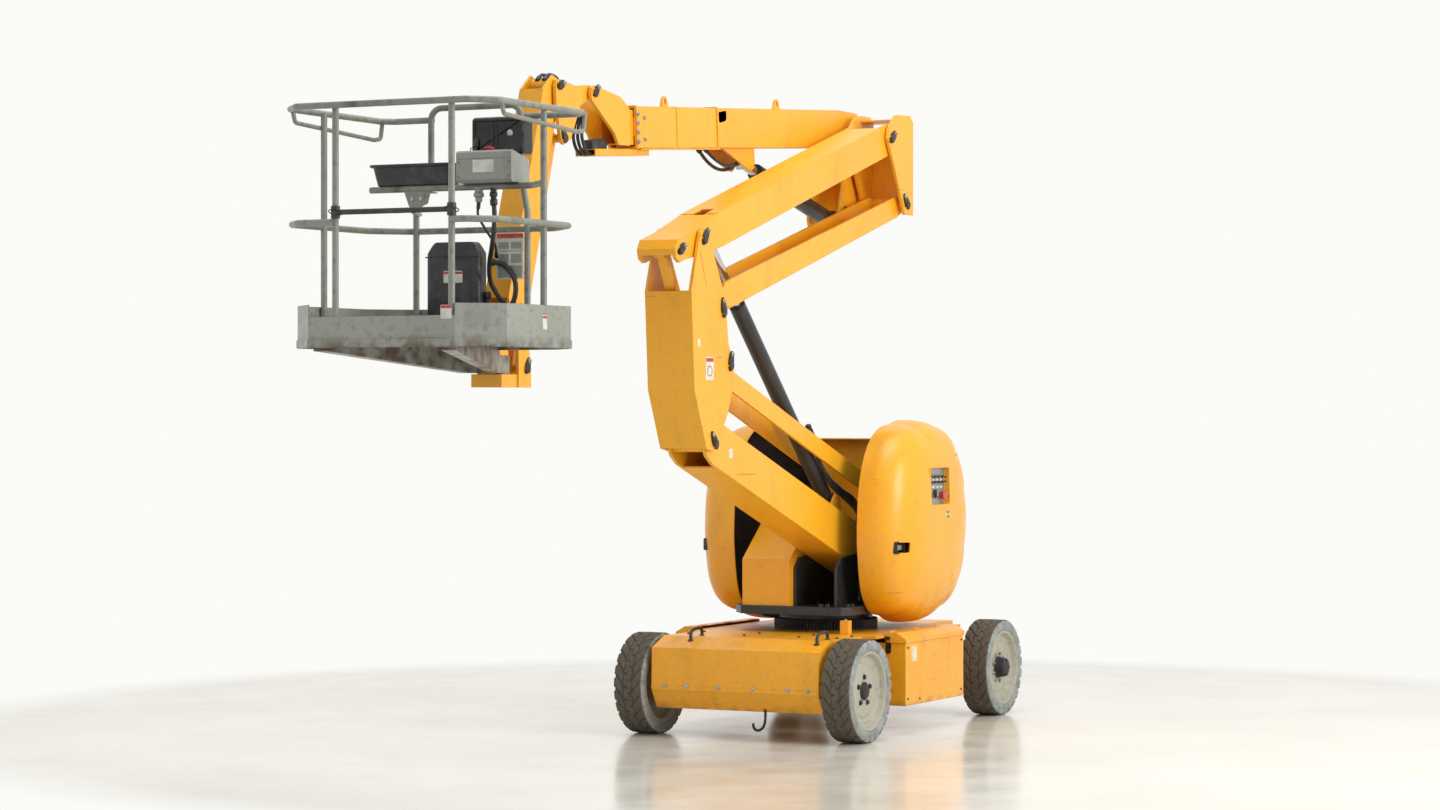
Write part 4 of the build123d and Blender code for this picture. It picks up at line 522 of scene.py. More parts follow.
def wheel_disc(end, side):
    """A pressed disc in its barrel: a closed section of lips, barrel, step and disc turned round the axle,
    with the hub and a ring of nuts."""
    centre = PIVOT[f"wheel_{end}_{side}_spin"]
    out = Y if side == "left" else -Y
    section = ((0.046, 0.030), (0.046, 0.146), (0.0415, 0.152), (0.041, 0.164), (0.045, 0.171),
               (0.0465, 0.184), (0.052, 0.197), (0.062, 0.2035), (0.079, 0.2065), (0.0865, 0.2125),
               (0.088, 0.2200), (0.086, 0.2255), (-0.086, 0.2255), (-0.088, 0.2200), (-0.0865, 0.2125),
               (-0.079, 0.2065), (-0.036, 0.2035), (-0.027, 0.196), (-0.024, 0.184), (-0.024, 0.030))
    disc_shell = turned(section, centre, out, 96, True)
    ring, count, nut = (0.079, 5, 0.020) if end == "front" else (0.086, 9, 0.017)
    angle = np.linspace(0, 2 * pi, count, endpoint=False) + 0.35
    places = centre + 0.0458 * out + ring * (np.cos(angle)[:, None] * X + np.sin(angle)[:, None] * Z)
    face = centre + 0.0455 * out
    if end == "front":
        hub = turned(((0, 0.052), (0.007, 0.052), (0.009, 0.046), (0.017, 0.041), (0.0205, 0.030),
                      (0.0215, 0.008)), face, out, 40)
        extra = [(turned(((0, 0.0300), (0.0012, 0.0300), (0.0012, 0.029), (0.0010, 0.028)), face, out, 24),
                  OILED_STEEL)]
        nuts = bolts(places, out, nut)
    else:
        hub = turned(((0, 0.066), (0.010, 0.066), (0.012, 0.060), (0.020, 0.0575), (0.050, 0.0565),
                      (0.0555, 0.052), (0.0570, 0.040), (0.0585, 0.034), (0.0590, 0.010)), face, out, 40)
        extra = [(bolts(face + 0.0575 * out + 0.044 * np.array([X, Z, -X, -Z]), out, 0.0075), OILED_STEEL)]
        nuts = bolts(places, out, nut, 0.016)
    valve = turned(((0, 0.005), (0.012, 0.005), (0.013, 0.0035), (0.024, 0.0035), (0.025, 0.002)),
                   centre + 0.048 * out + 0.19 * (0.5 * X + 0.866 * Z), out, 12)
    made = piece(f"pressed_wheel_{end}_{side}", f"wheel_{end}_{side}",
                 [(disc_shell, RIM_CREAM), (hub, BLACK_IRON), (nuts, OILED_STEEL if end == "front" else ZINC),
                  (valve, HOSE)] + extra, 35)
    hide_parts(f"rim_{end}_{side}")


# ---------------------------------------------------------------- cowls
COWL_MIDDLE = np.array([-0.13, 1.225])
COWL_EDGE = rounded(((-0.50, 0.668), (0.25, 0.668), (0.385, 0.80), (0.44, 1.13), (0.405, 1.468), (0.29, 1.68),
                     (0.10, 1.79), (-0.49, 1.79), (-0.70, 1.55), (-0.70, 0.90)), 0.12, 7)
COWL_INNER, COWL_BULGE, COWL_POWER = 0.400, 0.305, 3.3


def cowl_reach(angle):
    """How far the cowl's rim is from its middle in each direction, read along its outline."""
    spoke = COWL_EDGE - COWL_MIDDLE
    direction = np.arctan2(spoke[:, 1], spoke[:, 0])
    order = np.argsort(direction)
    return np.interp(angle, direction[order], np.hypot(*spoke.T)[order], period=2 * pi)


def cowl_points(x, z, lift=0.0):
    """Points on the left cowl: the bulge falls off with the share of the way to the rim, as a
    super-ellipse."""
    spoke = np.stack((x, z), -1) - COWL_MIDDLE
    share = np.hypot(spoke[..., 0], spoke[..., 1]) / cowl_reach(np.arctan2(spoke[..., 1], spoke[..., 0]))
    bulge = np.clip(1 - share ** COWL_POWER, 0, 1) ** (1 / COWL_POWER)
    return np.stack((x, COWL_INNER + COWL_BULGE * bulge + lift, z), -1)


def cowl_layer(outer, inner):
    """A closed thin shell between two depths: rings from the middle out to the rim and back again; each ring
    is the rim's outline scaled, and its depth follows the super-ellipse."""
    angle = np.linspace(-pi, pi, 120, endpoint=False)
    reach = cowl_reach(angle)
    turn = np.linspace(0.02, pi / 2, 40)
    rings = []
    for depth, order in ((outer, 1), (inner, -1)):
        share = np.sin(turn)[::order, None] ** (2 / COWL_POWER)
        rise = np.cos(turn)[::order, None] ** (2 / COWL_POWER)
        radius = share * (reach[None] - depth)
        rings.append(np.stack((COWL_MIDDLE[0] + radius * np.cos(angle),
                               COWL_INNER + (COWL_BULGE - depth) * np.clip(rise, 0, 1) + 0 * radius,
                               COWL_MIDDLE[1] + radius * np.sin(angle)), -1))
    return skin(np.concatenate(rings))


def plug(low, high, radius=0.012):
    """A cutter through the cowl's wall, along Y."""
    middle = (np.asarray(low) + high) / 2
    size = np.asarray(high, float) - low
    return board(rectangle(size[0], size[2], radius), size[1], (middle[0], high[1], middle[2]), X, Z, 0.0001)


def recess(low, high, radius=0.012, wall=0.004):
    """The rim of a recess: a rounded outline and the same drawn in, joined front and back."""
    middle = (np.asarray(low) + high) / 2
    size = np.asarray(high, float) - low
    outer = rectangle(size[0], size[2], radius)
    inner = drawn_in(outer, wall)
    rings = [(outer, high[1]), (outer, low[1]), (inner, low[1]), (inner, high[1])]
    grid = np.array([np.stack((middle[0] + ring[:, 0], depth + 0 * ring[:, 0], middle[2] + ring[:, 1]), -1)
                     for ring, depth in rings])
    return skin(grid, True)


LATCH_LOW, LATCH_HIGH = np.array([0.268, 0.575, 1.045]), np.array([0.368, 0.640, 1.105])
PANEL_LOW, PANEL_HIGH = np.array([-0.240, 0.655, 1.318]), np.array([0.030, 0.72, 1.533])


def cut(thing, shells):
    """Cut closed shells out of a piece for good."""
    cutter_mesh = bpy.data.meshes.new("cutter")
    points, faces = several(shells)
    cutter_mesh.from_pydata(points.tolist(), [], faces)
    shape = bmesh.new()
    shape.from_mesh(cutter_mesh)
    bmesh.ops.recalc_face_normals(shape, faces=shape.faces)
    shape.to_mesh(cutter_mesh)
    shape.free()
    cutter = bpy.data.objects.new("cutter", cutter_mesh)
    bpy.context.scene.collection.objects.link(cutter)
    knife = thing.modifiers.new("cut", "BOOLEAN")
    knife.object, knife.operation, knife.solver = cutter, "DIFFERENCE", "EXACT"
    depsgraph = bpy.context.evaluated_depsgraph_get()
    result = bpy.data.meshes.new_from_object(thing.evaluated_get(depsgraph))
    thing.modifiers.clear()
    thing.data = result
    bpy.data.objects.remove(cutter)
    bpy.data.meshes.remove(cutter_mesh)
    result.polygons.foreach_set("use_smooth", np.ones(len(result.polygons), bool))
    result.set_sharp_from_angle(angle=radians(32))


def cowl(side):
    """A moulded cowl with its latch recess, and on the left the control recess; the right one is its
    mirror."""
    flip = (lambda shell: shell) if side == "left" else mirrored
    hinge_x = PIVOT["cowl_left_open"][0]
    eyes = several([disc((hinge_x, COWL_INNER, z), Z, 0.010, 0.060, 0.001, 24) for z in (1.000, 1.440)])
    leaves = several([brick((hinge_x, COWL_INNER, z), (-0.665, COWL_INNER + 0.005, z + 0.060), 0.002, 0.001)
                      for z in (1.000, 1.440)])
    # The inner layer is painted shade: dark brown where shade falls inside the cowl.
    made = piece(f"moulded_cowl_{side}", f"cowl_{side}",
                 [(flip(cowl_layer(0.0, 0.006)), COWL_YELLOW),
                  (flip(cowl_layer(0.0061, 0.008)), COWL_INSIDE_PAINTED_SHADE)])
    openings = [flip(plug(LATCH_LOW - (0, 0.1, 0), LATCH_HIGH + (0, 0.1, 0)))]
    if side == "left":
        openings.append(plug(PANEL_LOW - (0, 0.1, 0), PANEL_HIGH + (0, 0.1, 0)))
    cut(made, openings)
    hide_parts(f"cowl_{side}")
    fittings = piece(f"cowl_hinges_{side}", f"cowl_{side}", [(flip(eyes), YELLOW), (flip(leaves), YELLOW)])
    latch(side, flip)


def latch(side, flip):
    """A paddle latch in its recess: a rim that follows the opening, a dark back, a bright paddle with a
    lock."""
    low, high = LATCH_LOW, LATCH_HIGH
    rim = recess(low - (0.006, 0.0, 0.006), (high[0] + 0.006, high[1] - 0.008, high[2] + 0.006), 0.012, 0.006)
    back = board(rectangle(high[0] - low[0] + 0.008, high[2] - low[2] + 0.008, 0.012), 0.003,
                 ((low[0] + high[0]) / 2, low[1] + 0.004, (low[2] + high[2]) / 2), X, Z, 0.0005)
    middle = np.array([(low[0] + high[0]) / 2, low[1] + 0.034, (low[2] + high[2]) / 2])
    paddle = board(rectangle(0.082, 0.036, 0.010), 0.010, middle, (0.95, -0.31, 0), Z, 0.003)
    lock = disc(middle + (0.016, 0.0, 0.0), (0.31, 0.95, 0), 0.009, 0.004, 0.001, 20)
    slit = board(rectangle(0.002, 0.010, 0.0008), 0.001, middle + (0.0175, 0.0055, 0), (0.95, -0.31, 0), Z,
                 0.0002)
    made = piece(f"cowl_latch_{side}", f"cowl_{side}",
                 [(flip(shell), material) for shell,
                  material in ((rim, PLASTIC), (back, PLASTIC), (paddle, ZINC), (lock, CHROME),
                               (slit, BLACK_IRON))])


def stuck_on_cowl(x, z, width, height):
    """A thin label on the left cowl: every point of its outline is set on the cowl's surface."""
    outline = rectangle(width, height, 0.006)
    rings = [(drawn_in(outline, width * 0.42), 0.0010), (drawn_in(outline, 0.0006), 0.0010),
             (outline, 0.0004), (outline, -0.0020), (drawn_in(outline, width * 0.42), -0.0020)]
    return skin(np.array([cowl_points(x + ring[:, 0], z + ring[:, 1], lift) for ring, lift in rings]))


def control_recess():
    """The ground controls: a panel set back in the left cowl, with toggles, a key switch, a dial and a
    stop knob."""
    low, high = PANEL_LOW, PANEL_HIGH
    rim = recess(low - (0.005, 0.0, 0.005), (high[0] + 0.005, 0.699, high[2] + 0.005), 0.018, 0.005)
    middle = (low + high) / 2
    face_y = low[1] + 0.012
    back = board(rectangle(high[0] - low[0] + 0.006, high[2] - low[2] + 0.006, 0.016), 0.004,
                 (middle[0], face_y, middle[2]), X, Z, 0.0005)

    def on_panel(x, z, out=0.0):
        return np.array([middle[0] + x, face_y + out, middle[2] + z])

    spots = [(x, z) for x in (-0.085, -0.03, 0.03, 0.085) for z in (0.062, 0.018)]
    bosses = several([disc(on_panel(x, z), Y, 0.011, 0.006, 0.001, 20) for x, z in spots])
    levers = several([turned(((0, 0.0045), (0.018, 0.0035), (0.028, 0.0052), (0.033, 0.0045), (0.035, 0.002)),
                             on_panel(x, z, 0.005), (0, 0.9, 0.35 if number % 2 else -0.35), 12)
                      for number, (x, z) in enumerate(spots)])
    knob = several([disc(on_panel(-0.075, -0.055), Y, 0.022, 0.010, 0.002, 28),
                    turned(((0, 0.012), (0.012, 0.012), (0.013, 0.026), (0.022, 0.029), (0.027, 0.022),
                            (0.029, 0.008)), on_panel(-0.075, -0.055, 0.009), Y, 28)])
    dial = turned(((0, 0.027), (0.006, 0.027), (0.008, 0.022), (0.017, 0.020), (0.019, 0.015),
                   (0.020, 0.004)), on_panel(0.01, -0.045), Y, 28)
    pointer = board(rectangle(0.005, 0.030, 0.001), 0.004, on_panel(0.01, -0.045, 0.022), X, Z, 0.0008)
    key = several([disc(on_panel(0.088, -0.06), Y, 0.016, 0.007, 0.0015, 24),
                   board(rectangle(0.005, 0.022, 0.001), 0.020, on_panel(0.088, -0.06, 0.024), X, Z, 0.001)])
    plates = several([board(rectangle(0.030, 0.012, 0.002), 0.0012, on_panel(x, z - 0.024, 0.0012), X, Z,
                            0.0003) for x, z in spots])
    screws = bolts([on_panel(x, z) for x in (-0.122, 0.122) for z in (-0.095, 0.095)], Y, 0.007)
    made = piece("ground_controls", "cowl_left",
                 [(rim, COWL_YELLOW), (back, PANEL), (bosses, ZINC), (levers, BLACK_PAINT), (knob, RED),
                  (dial, PLASTIC), (pointer, LABEL), (key, ZINC), (plates, LABEL), (screws, ZINC)])
    labels = several([stuck_on_cowl(-0.455, 1.645, 0.105, 0.095), stuck_on_cowl(-0.211, 1.257, 0.048, 0.055)])
    made = piece("cowl_labels", "cowl_left", [(labels, PALE_LABEL)])


for end in ("front", "rear"):
    for side in ("left", "right"):
        tyre(end, side)
        wheel_disc(end, side)
for side in ("left", "right"):
    cowl(side)
control_recess()

# ---------------------------------------------------------------- pins and fasteners
SHIFT_TO_LINK = PIVOT["lower_link_turn"] - PIVOT["lower_lift"]
MAST_LOW_LINK = PIVOT["mast_level"] + SHIFT_TO_LINK
REAR_LINK = PIVOT["knuckle_level"] + PIVOT["upper_link_turn"] - PIVOT["upper_arm_turn"]
NEAR_FACE, FAR_FACE = 0.291, 0.009


def keeper(point, face, side, turn, reach=0.062, radius=0.033, thick=0.013):
    """A pin's retaining plate: a drop-shaped outline, the pin's head at its round end and a bolt at its
    narrow one."""
    angle = np.linspace(0, 2 * pi, 36, endpoint=False)
    size = radius - (radius - 0.019) * (1 + np.cos(angle)) / 2
    outline = np.stack((np.cos(angle) * size + reach * (1 + np.cos(angle)) / 2, np.sin(angle) * size), -1)
    right = np.cos(turn) * X + np.sin(turn) * Z
    up = (-np.sin(turn) * X + np.cos(turn) * Z) * side
    place = np.array([point[0], face, point[2]])
    plate = board(outline, thick, place - 0.002 * side * Y, right, -up, 0.003)
    out = Y * side
    head = disc(place + (thick - 0.004) * out, out, 0.024, 0.006, 0.002, 28)
    bolt = bolts([place + right * reach + (thick - 0.003) * out], out, 0.016)
    return [(plate, OILED_STEEL), (head, OILED_STEEL), (bolt, ZINC)]


def keepers(name, body, places):
    """Several retaining plates as one piece."""
    made = piece(name, body, [pair for place in places for pair in keeper(*place)])


MAST_TURNS = ((PIVOT["upper_arm_turn"], 2.2), (PIVOT["upper_link_turn"], 1.4), (MAST_LOW_LINK, 1.75),
              (PIVOT["mast_level"], 1.0))
keepers("mast_pin_plates", "mast", [(point, face, side, turn) for point, turn in MAST_TURNS
                                    for face, side in ((NEAR_FACE, 1), (FAR_FACE, -1))])
keepers("nose_pin_plates", "upper_arm", [(PIVOT["timing_link_turn"], 0.265, 1, 2.6, 0.052, 0.030),
                                         (PIVOT["timing_link_turn"], 0.035, -1, 2.6, 0.052, 0.030)])
keepers("knuckle_pin_plates", "knuckle", [(point, face, side, turn) for point, turn in
                                          ((PIVOT["knuckle_level"], 2.5), (REAR_LINK, 0.9))
                                          for face, side in ((NEAR_FACE, 1), (FAR_FACE, -1))])
BOOM_OUT = 0.085 + 0.008 + 0.018
BOOM_MID = PIVOT["boom_lift"][1]
keepers("boom_pin_plates", "knuckle", [(point, BOOM_MID + side * BOOM_OUT, side, turn) for point,
                                       turn in ((PIVOT["boom_lift"], 0.4), (PIVOT["boom_barrel_turn"], 1.9))
                                       for side in (1, -1)])
keepers("tower_pin_plates", "turret", [(point, face, side, turn) for point, turn in
                                       ((PIVOT["lower_lift"], 2.0), (PIVOT["lower_link_turn"], 0.8))
                                       for face, side in ((NEAR_FACE, 1), (FAR_FACE, -1))])
HEAD_OUT = 0.070 + 0.008 + 0.018
keepers("jib_pin_plates", "jib_head", [(point, BOOM_MID + side * HEAD_OUT, side, turn, 0.045, 0.027, 0.010)
                                       for point, turn in ((PIVOT["jib_lift"], 2.8),
                                                           (PIVOT["jib_rod_turn"], 1.2)) for side in (1, -1)])
FOOT_ROD = PIVOT["carrier_level"] + PIVOT["jib_rod_turn"] - PIVOT["jib_lift"]
keepers("foot_pin_plates", "basket_carrier", [(point, BOOM_MID + side * HEAD_OUT, side, turn, 0.045, 0.027,
                                               0.010) for point,
                                              turn in ((PIVOT["carrier_level"], 1.4), (FOOT_ROD, 2.0))
                                              for side in (1, -1)])
TIP = PIVOT["head_level"]
keepers("tip_pin_plates", "boom_inner", [(TIP, BOOM_MID + side * 0.086, side, 2.4, 0.045, 0.027, 0.010)
                                         for side in (1, -1)])


def fastened(name, body, places, axis, size, material=None, height=None):
    """A set of bolt heads along one axis."""
    made = piece(name, body, [(bolts(np.array(places), axis, size, height), material or ZINC)])


# ---------------------------------------------------------------- chassis fittings
HOOD_LOW, HOOD_HIGH = corners("drive_hood")
DECK = HOOD_HIGH[2]


def lifting_handle(y):
    """A bent round handle on the hood: the line goes up, along and down again."""
    rise, back, front = DECK + 0.045, 0.985, 1.125
    points = [(back, y, DECK - 0.004), (back, y, DECK + 0.024), (back + 0.012, y, rise - 0.005),
              (back + 0.040, y, rise), (front - 0.050, y, rise - 0.002), (front - 0.016, y, rise - 0.010),
              (front - 0.002, y, DECK + 0.016), (front + 0.004, y, DECK - 0.024)]
    feet = several([disc((back, y, DECK - 0.001), Z, 0.017, 0.005, 0.001, 20),
                    disc((front + 0.002, y, DECK - 0.022), (0.37, 0, 0.93), 0.017, 0.005, 0.001, 20)])
    return several((bar(points, 0.0095, Y, 8, 12), feet))


made = piece("hood_handles", "chassis", [(several([lifting_handle(y) for y in (-0.33, 0.47)]), BLACK_PAINT)])
seam_places = [(1.2335, y, 0.300) for y in (-0.44, -0.302, -0.1, 0.12, 0.339, 0.46)]
fastened("hood_seam_bolts", "chassis", seam_places, X, 0.016)
fastened("deck_bolts", "chassis", [(x, y, DECK) for x in (0.70, 0.90) for y in (-0.46, -0.1, 0.25, 0.49)], Z,
         0.013, BLACK_IRON)
lap = several([board(rectangle(1.040, 0.030, 0.003), 0.004, (1.2295, 0.0, 0.288), Y, Z, 0.001),
               board(rectangle(0.110, 0.012, 0.003), 0.004, (1.0, HOOD_LOW[1], 0.42), X, Z, 0.001)])
cheek_rims = []
for side in (1, -1):
    face = 0.5305 * side
    angle = np.linspace(0.12 * pi, 0.88 * pi, 25)
    arch = np.stack((1.0 + 0.20 * np.cos(angle), 0 * angle + face, 0.293 + 0.20 * np.sin(angle)), -1)
    cheek_rims.append(carried(arch, rounded(((-0.004, -0.003), (0.004, -0.003), (0.004, 0.003),
                                             (-0.004, 0.003)), 0.001, 3), Y))
made = piece("hood_laps", "chassis", [(lap, YELLOW_LOW)] + [(rim, YELLOW_LOW) for rim in cheek_rims])


def tow_hook():
    """A bent steel hook under the hood: a round bar that drops, curls forward and turns up at its tip."""
    points = [(1.17, 0.168, 0.205), (1.17, 0.168, 0.130), (1.171, 0.160, 0.090), (1.172, 0.140, 0.066),
              (1.173, 0.112, 0.062), (1.174, 0.096, 0.078), (1.174, 0.094, 0.100)]
    return several((bar(points, 0.0075, X, 8, 12), brick((1.155, 0.148, 0.198), (1.185, 0.188, 0.218))))


made = piece("tow_hook", "chassis", [(tow_hook(), OILED_STEEL)])


def toggle_latch(x, y):
    """An over-centre latch: its plate, its bent lever and the loop that pulls the lid down."""
    plate = board(rectangle(0.034, 0.060, 0.004), 0.003, (x, y, 0.505), Y, Z, 0.0006)
    lever = board(rounded(((-0.011, -0.030), (0.011, -0.030), (0.009, 0.032), (-0.009, 0.032)), 0.004), 0.004,
                  (x + 0.009, y, 0.500), Y, (0.14, 0, 0.99), 0.001)
    loop = [bar([(x + 0.010, y + k, 0.520), (x + 0.011, y + k, 0.548), (x + 0.010, y + k * 0.6, 0.562)],
                0.0022, Y, 5, 8) for k in (-0.009, 0.009)]
    keep = board(rectangle(0.026, 0.018, 0.003), 0.012, (x, y, 0.560), Y, Z, 0.002)
    rivets = bolts([(x + 0.003, y + k, z) for k in (-0.012, 0.012) for z in (0.482, 0.528)], X, 0.0045)
    return several([plate, lever, keep, rivets] + loop)


BOX_FRONT = corners("battery_box_left")[1][0]
latches = several([toggle_latch(BOX_FRONT + 0.0005, side * 0.634) for side in (1, -1)])
made = piece("battery_box_latches", "chassis", [(latches, OILED_STEEL)])
box_out = corners("battery_box_left")[1][1]
label = board(rectangle(0.082, 0.092, 0.006), 0.0012, (0.383, box_out, 0.467), -X, Z, 0.0003)
inset_label = board(rectangle(0.042, 0.060, 0.004), 0.0008, (0.380, box_out + 0.0012, 0.467), -X, Z, 0.0002)
made = piece("battery_box_label", "chassis", [(label, PALE_LABEL), (inset_label, LABEL)])
screws = [(x, box_out, z) for x, z in ((0.47, 0.21), (0.47, 0.505), (-0.32, 0.21), (-0.32, 0.505),
                                       (0.30, 0.20))]
fastened("battery_box_screws_left", "chassis", screws, Y, 0.009, OILED_STEEL)
fastened("battery_box_screws_right", "chassis", [(x, -y, z) for x, y, z in screws], -Y, 0.009, OILED_STEEL)
stop_block = brick((0.500, 0.345, DECK), (0.548, 0.400, DECK + 0.080), 0.004, 0.002)
made = piece("turret_lock_block", "chassis", [(stop_block, YELLOW_LOW),
                                              (bolts([(0.524, 0.372, DECK + 0.079)], Z, 0.014), ZINC)])

# ---------------------------------------------------------------- turret fittings
RING_LOW, RING_HIGH = corners("slew_ring")


def toothed_ring():
    """The slew ring with its teeth: the rim's radius swings with the tooth angle, and the section is
    closed."""
    teeth = 96
    angle = np.linspace(0, 2 * pi, teeth * 6, endpoint=False)
    wave = np.clip(np.sin(angle * teeth) * 1.6, -1, 1) * 0.5 + 0.5
    low, high = RING_LOW[2] + 0.008, RING_HIGH[2] - 0.006
    outer = 0.298 + 0.0115 * wave
    rings = [(outer, low), (outer, high), (0 * outer + 0.225, high), (0 * outer + 0.225, low)]
    grid = np.array([np.stack((radius * np.cos(angle), radius * np.sin(angle), 0 * angle + height), -1)
                     for radius, height in rings])
    return skin(grid, True)


flanges = several([turned(((0, 0.222), (0, 0.308), (0.002, 0.3095), (0.007, 0.3095), (0.0085, 0.307),
                           (0.0085, 0.222)), (0, 0, z), Z, 96, True)
                   for z in (RING_LOW[2], RING_HIGH[2] - 0.0085)])
made = piece("toothed_slew_ring", "chassis", [(toothed_ring(), OILED_STEEL), (flanges, BLACK_IRON)])
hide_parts("slew_ring")
BASE_TOP = 0.728
turn = np.linspace(0, 2 * pi, 24, endpoint=False)
seat_ring = np.stack((0.245 * np.cos(turn), 0.245 * np.sin(turn), 0 * turn + BASE_TOP), -1)
seat_ring = seat_ring[(seat_ring[:, 0] > 0.02) & (seat_ring[:, 1] > 0.03)]
fastened("base_bolts", "turret", list(seat_ring) + [(x, y, BASE_TOP) for x,
                                                    y in ((0.497, 0.20), (0.497, 0.24), (0.44, 0.345),
                                                          (0.38, 0.345))], Z, 0.026, OILED_STEEL)


def hose(points, radius=0.011, side=Y):
    """A hose with its two crimped ferrules, on one smooth line."""
    line = flowing(points, 10)
    ends = []
    for end, after in ((line[0], line[2]), (line[-1], line[-3])):
        ends.append(turned(((0, radius * 1.2), (0.004, radius * 1.55), (0.030, radius * 1.55),
                            (0.034, radius * 1.15)), end, after - end, 14))
    return [(carried(line, circle(radius, 14), side), HOSE), (several(ends), OILED_STEEL)]


# ---------------------------------------------------------------- boom fittings
BOOM_TILT = radians(-3.86)
ALONG = np.array([cos(BOOM_TILT), 0, sin(BOOM_TILT)])
RISE = np.array([-sin(BOOM_TILT), 0, cos(BOOM_TILT)])


def on_boom(x, y, z):
    """A place in the boom's own axes, from its pin."""
    return PIVOT["boom_lift"] + ALONG * x + Y * y + RISE * z


def band(x, length, low, high, half, proud):
    """A plate wrapped round the boom: the section's outline, stood proud, carried a short way along it."""
    outline = rounded(((-half, low), (half, low), (half, high), (-half, high)), 0.008, 4)
    rings = []
    for step, out in ((0, 0.0), (0, proud), (length, proud), (length, 0.0)):
        ring = drawn_in(outline, -out)
        rings.append([on_boom(x + step, y, z) for y, z in ring])
    return skin(np.array(rings), True)


low_z, top_z, half_y = -0.135, 0.090, 0.085
bands = several([band(1.905, 0.016, low_z, top_z, half_y, 0.006),
                 band(2.405, 0.010, low_z, top_z, half_y, 0.003),
                 band(2.862, 0.026, low_z, top_z, half_y, 0.005)])
guard = board(rounded(((0, 0), (0.11, -0.012), (0.095, -0.075), (0, -0.060)), 0.02), 0.005,
              on_boom(1.795, half_y, 0.078), ALONG, RISE, 0.001)
under_strip = board(rectangle(0.96, 0.030, 0.004), 0.008, on_boom(2.36, half_y - 0.012, low_z - 0.010),
                    ALONG, Y, 0.001)
weld = copies(turned(((-0.004, 0.001), (0, 0.004), (0.004, 0.001)), (0, 0, 0), ALONG, 6),
              [on_boom(x, half_y, low_z + 0.001) for x in np.linspace(0.35, 2.8, 150)])
made = piece("boom_bands", "boom_outer",
             [(bands, YELLOW), (guard, YELLOW), (under_strip, YELLOW), (weld, YELLOW)])
pads = [on_boom(2.79, half_y, z) for z in (0.030, -0.085)]
pads += [on_boom(2.875, half_y + 0.005, z) for z in (0.05, 0.0, -0.05, -0.10)]
far_pads = [place - Y * (2 * half_y + (0.010 if number > 1 else 0)) for number, place in enumerate(pads)]
fastened("boom_pad_bolts_left", "boom_outer", pads, Y, 0.018)
fastened("boom_pad_bolts_right", "boom_outer", far_pads, -Y, 0.018)
carrier_side = rounded(((0, 0), (0.165, -0.012), (0.165, -0.075), (0.03, -0.090), (0, -0.06)), 0.012)
carrier = board(carrier_side, 0.062, on_boom(3.120, 0.031, -0.078), ALONG, RISE, 0.003)
chain = copies(brick((-0.014, -0.030, -0.010), (0.014, 0.030, 0.010), 0.004, 0.002),
               [on_boom(x, 0.0, -0.160) for x in np.arange(2.74, 3.29, 0.034)])
made = piece("hose_chain", "boom_outer", [(chain, PLASTIC)])
loops = []
for k in (-0.022, 0.0, 0.022):
    loops += hose([on_boom(3.16, k, -0.125), on_boom(3.24, k, -0.165), on_boom(3.335, k * 1.2, -0.155),
                   on_boom(3.385, k * 1.2, -0.085), on_boom(3.372, k, -0.010),
                   on_boom(3.330, k * 0.7, 0.045)], 0.009)
made = piece("tip_hose_guide", "boom_inner", [(carrier, PLASTIC)] + loops)


def sagging(start, end, sag, radius=0.010, spread=0.0):
    """A hose hung between two fittings: a straight line lowered by a parabola, with a side bow."""
    t = np.linspace(0, 1, 7)[:, None]
    droop = 4 * t * (1 - t)
    line = np.asarray(start) * (1 - t) + np.asarray(end) * t - Z * sag * droop + Y * spread * droop
    return hose(line, radius)


knuckle_hoses = []
for k in (0, 1):
    knuckle_hoses += sagging(on_boom(2.01 + 0.03 * k, 0.050 - 0.03 * k, low_z),
                             on_boom(1.50, 0.045 - 0.03 * k, -0.205), 0.060 + 0.025 * k, 0.010)
made = piece("boom_root_hoses", "boom_outer", knuckle_hoses)

# ---------------------------------------------------------------- riser fittings
lift_hoses = []
for k in (0.0, 0.026, 0.052):
    lift_hoses += hose([(0.70 - k, 0.212, 1.790 - k), (0.60 - k, 0.214, 1.635 - k),
                        (0.47 - k, 0.222, 1.500 - k), (0.33 - k, 0.245, 1.415 - k),
                        (0.215 - 0.3 * k, 0.295, 1.330 - k), (0.188 - 0.4 * k, 0.314, 1.15),
                        (0.195 - 0.4 * k, 0.316, 0.93), (0.20 - 0.4 * k, 0.312, 0.750)], 0.012)
made = piece("lift_cylinder_hoses", None, lift_hoses)
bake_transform(made)
label_x, label_front = 2.108, NEAR_FACE + 0.0012
sheet = board(rectangle(0.095, 0.125, 0.006), 0.0012, (label_x, NEAR_FACE, 2.103), -X, Z, 0.0003)
red_band = board(rectangle(0.085, 0.020, 0.002), 0.0008, (label_x, label_front, 2.150), -X, Z, 0.0002)
red_circle = turned(((0, 0.030), (0.0006, 0.030), (0.0006, 0.024), (0, 0.024)), (label_x, label_front, 2.090),
                    Y, 32, True)
small_sheet = board(rectangle(0.030, 0.040, 0.003), 0.001, (2.235, NEAR_FACE, 2.240), -X, Z, 0.0003)
made = piece("mast_labels", "mast",
             [(sheet, LABEL), (red_band, RED), (red_circle, RED), (small_sheet, LABEL)])
arm_label = board(rectangle(0.045, 0.050, 0.003), 0.001, (1.80, 0.265, 1.640), -X, Z, 0.0003)
made = piece("arm_label", "lower_arm", [(arm_label, LABEL)])
mast_x, mast_z = PIVOT["upper_arm_turn"][0], PIVOT["upper_arm_turn"][2]
mast_weld = flowing([(mast_x + 0.05, NEAR_FACE, mast_z - 0.06),
                     (mast_x - 0.03, NEAR_FACE, mast_z - 0.25)], 14)
mast_seam = carried(mast_weld, circle(0.0028, 6), Y)
made = piece("mast_seam", "mast", [(mast_seam, YELLOW)])

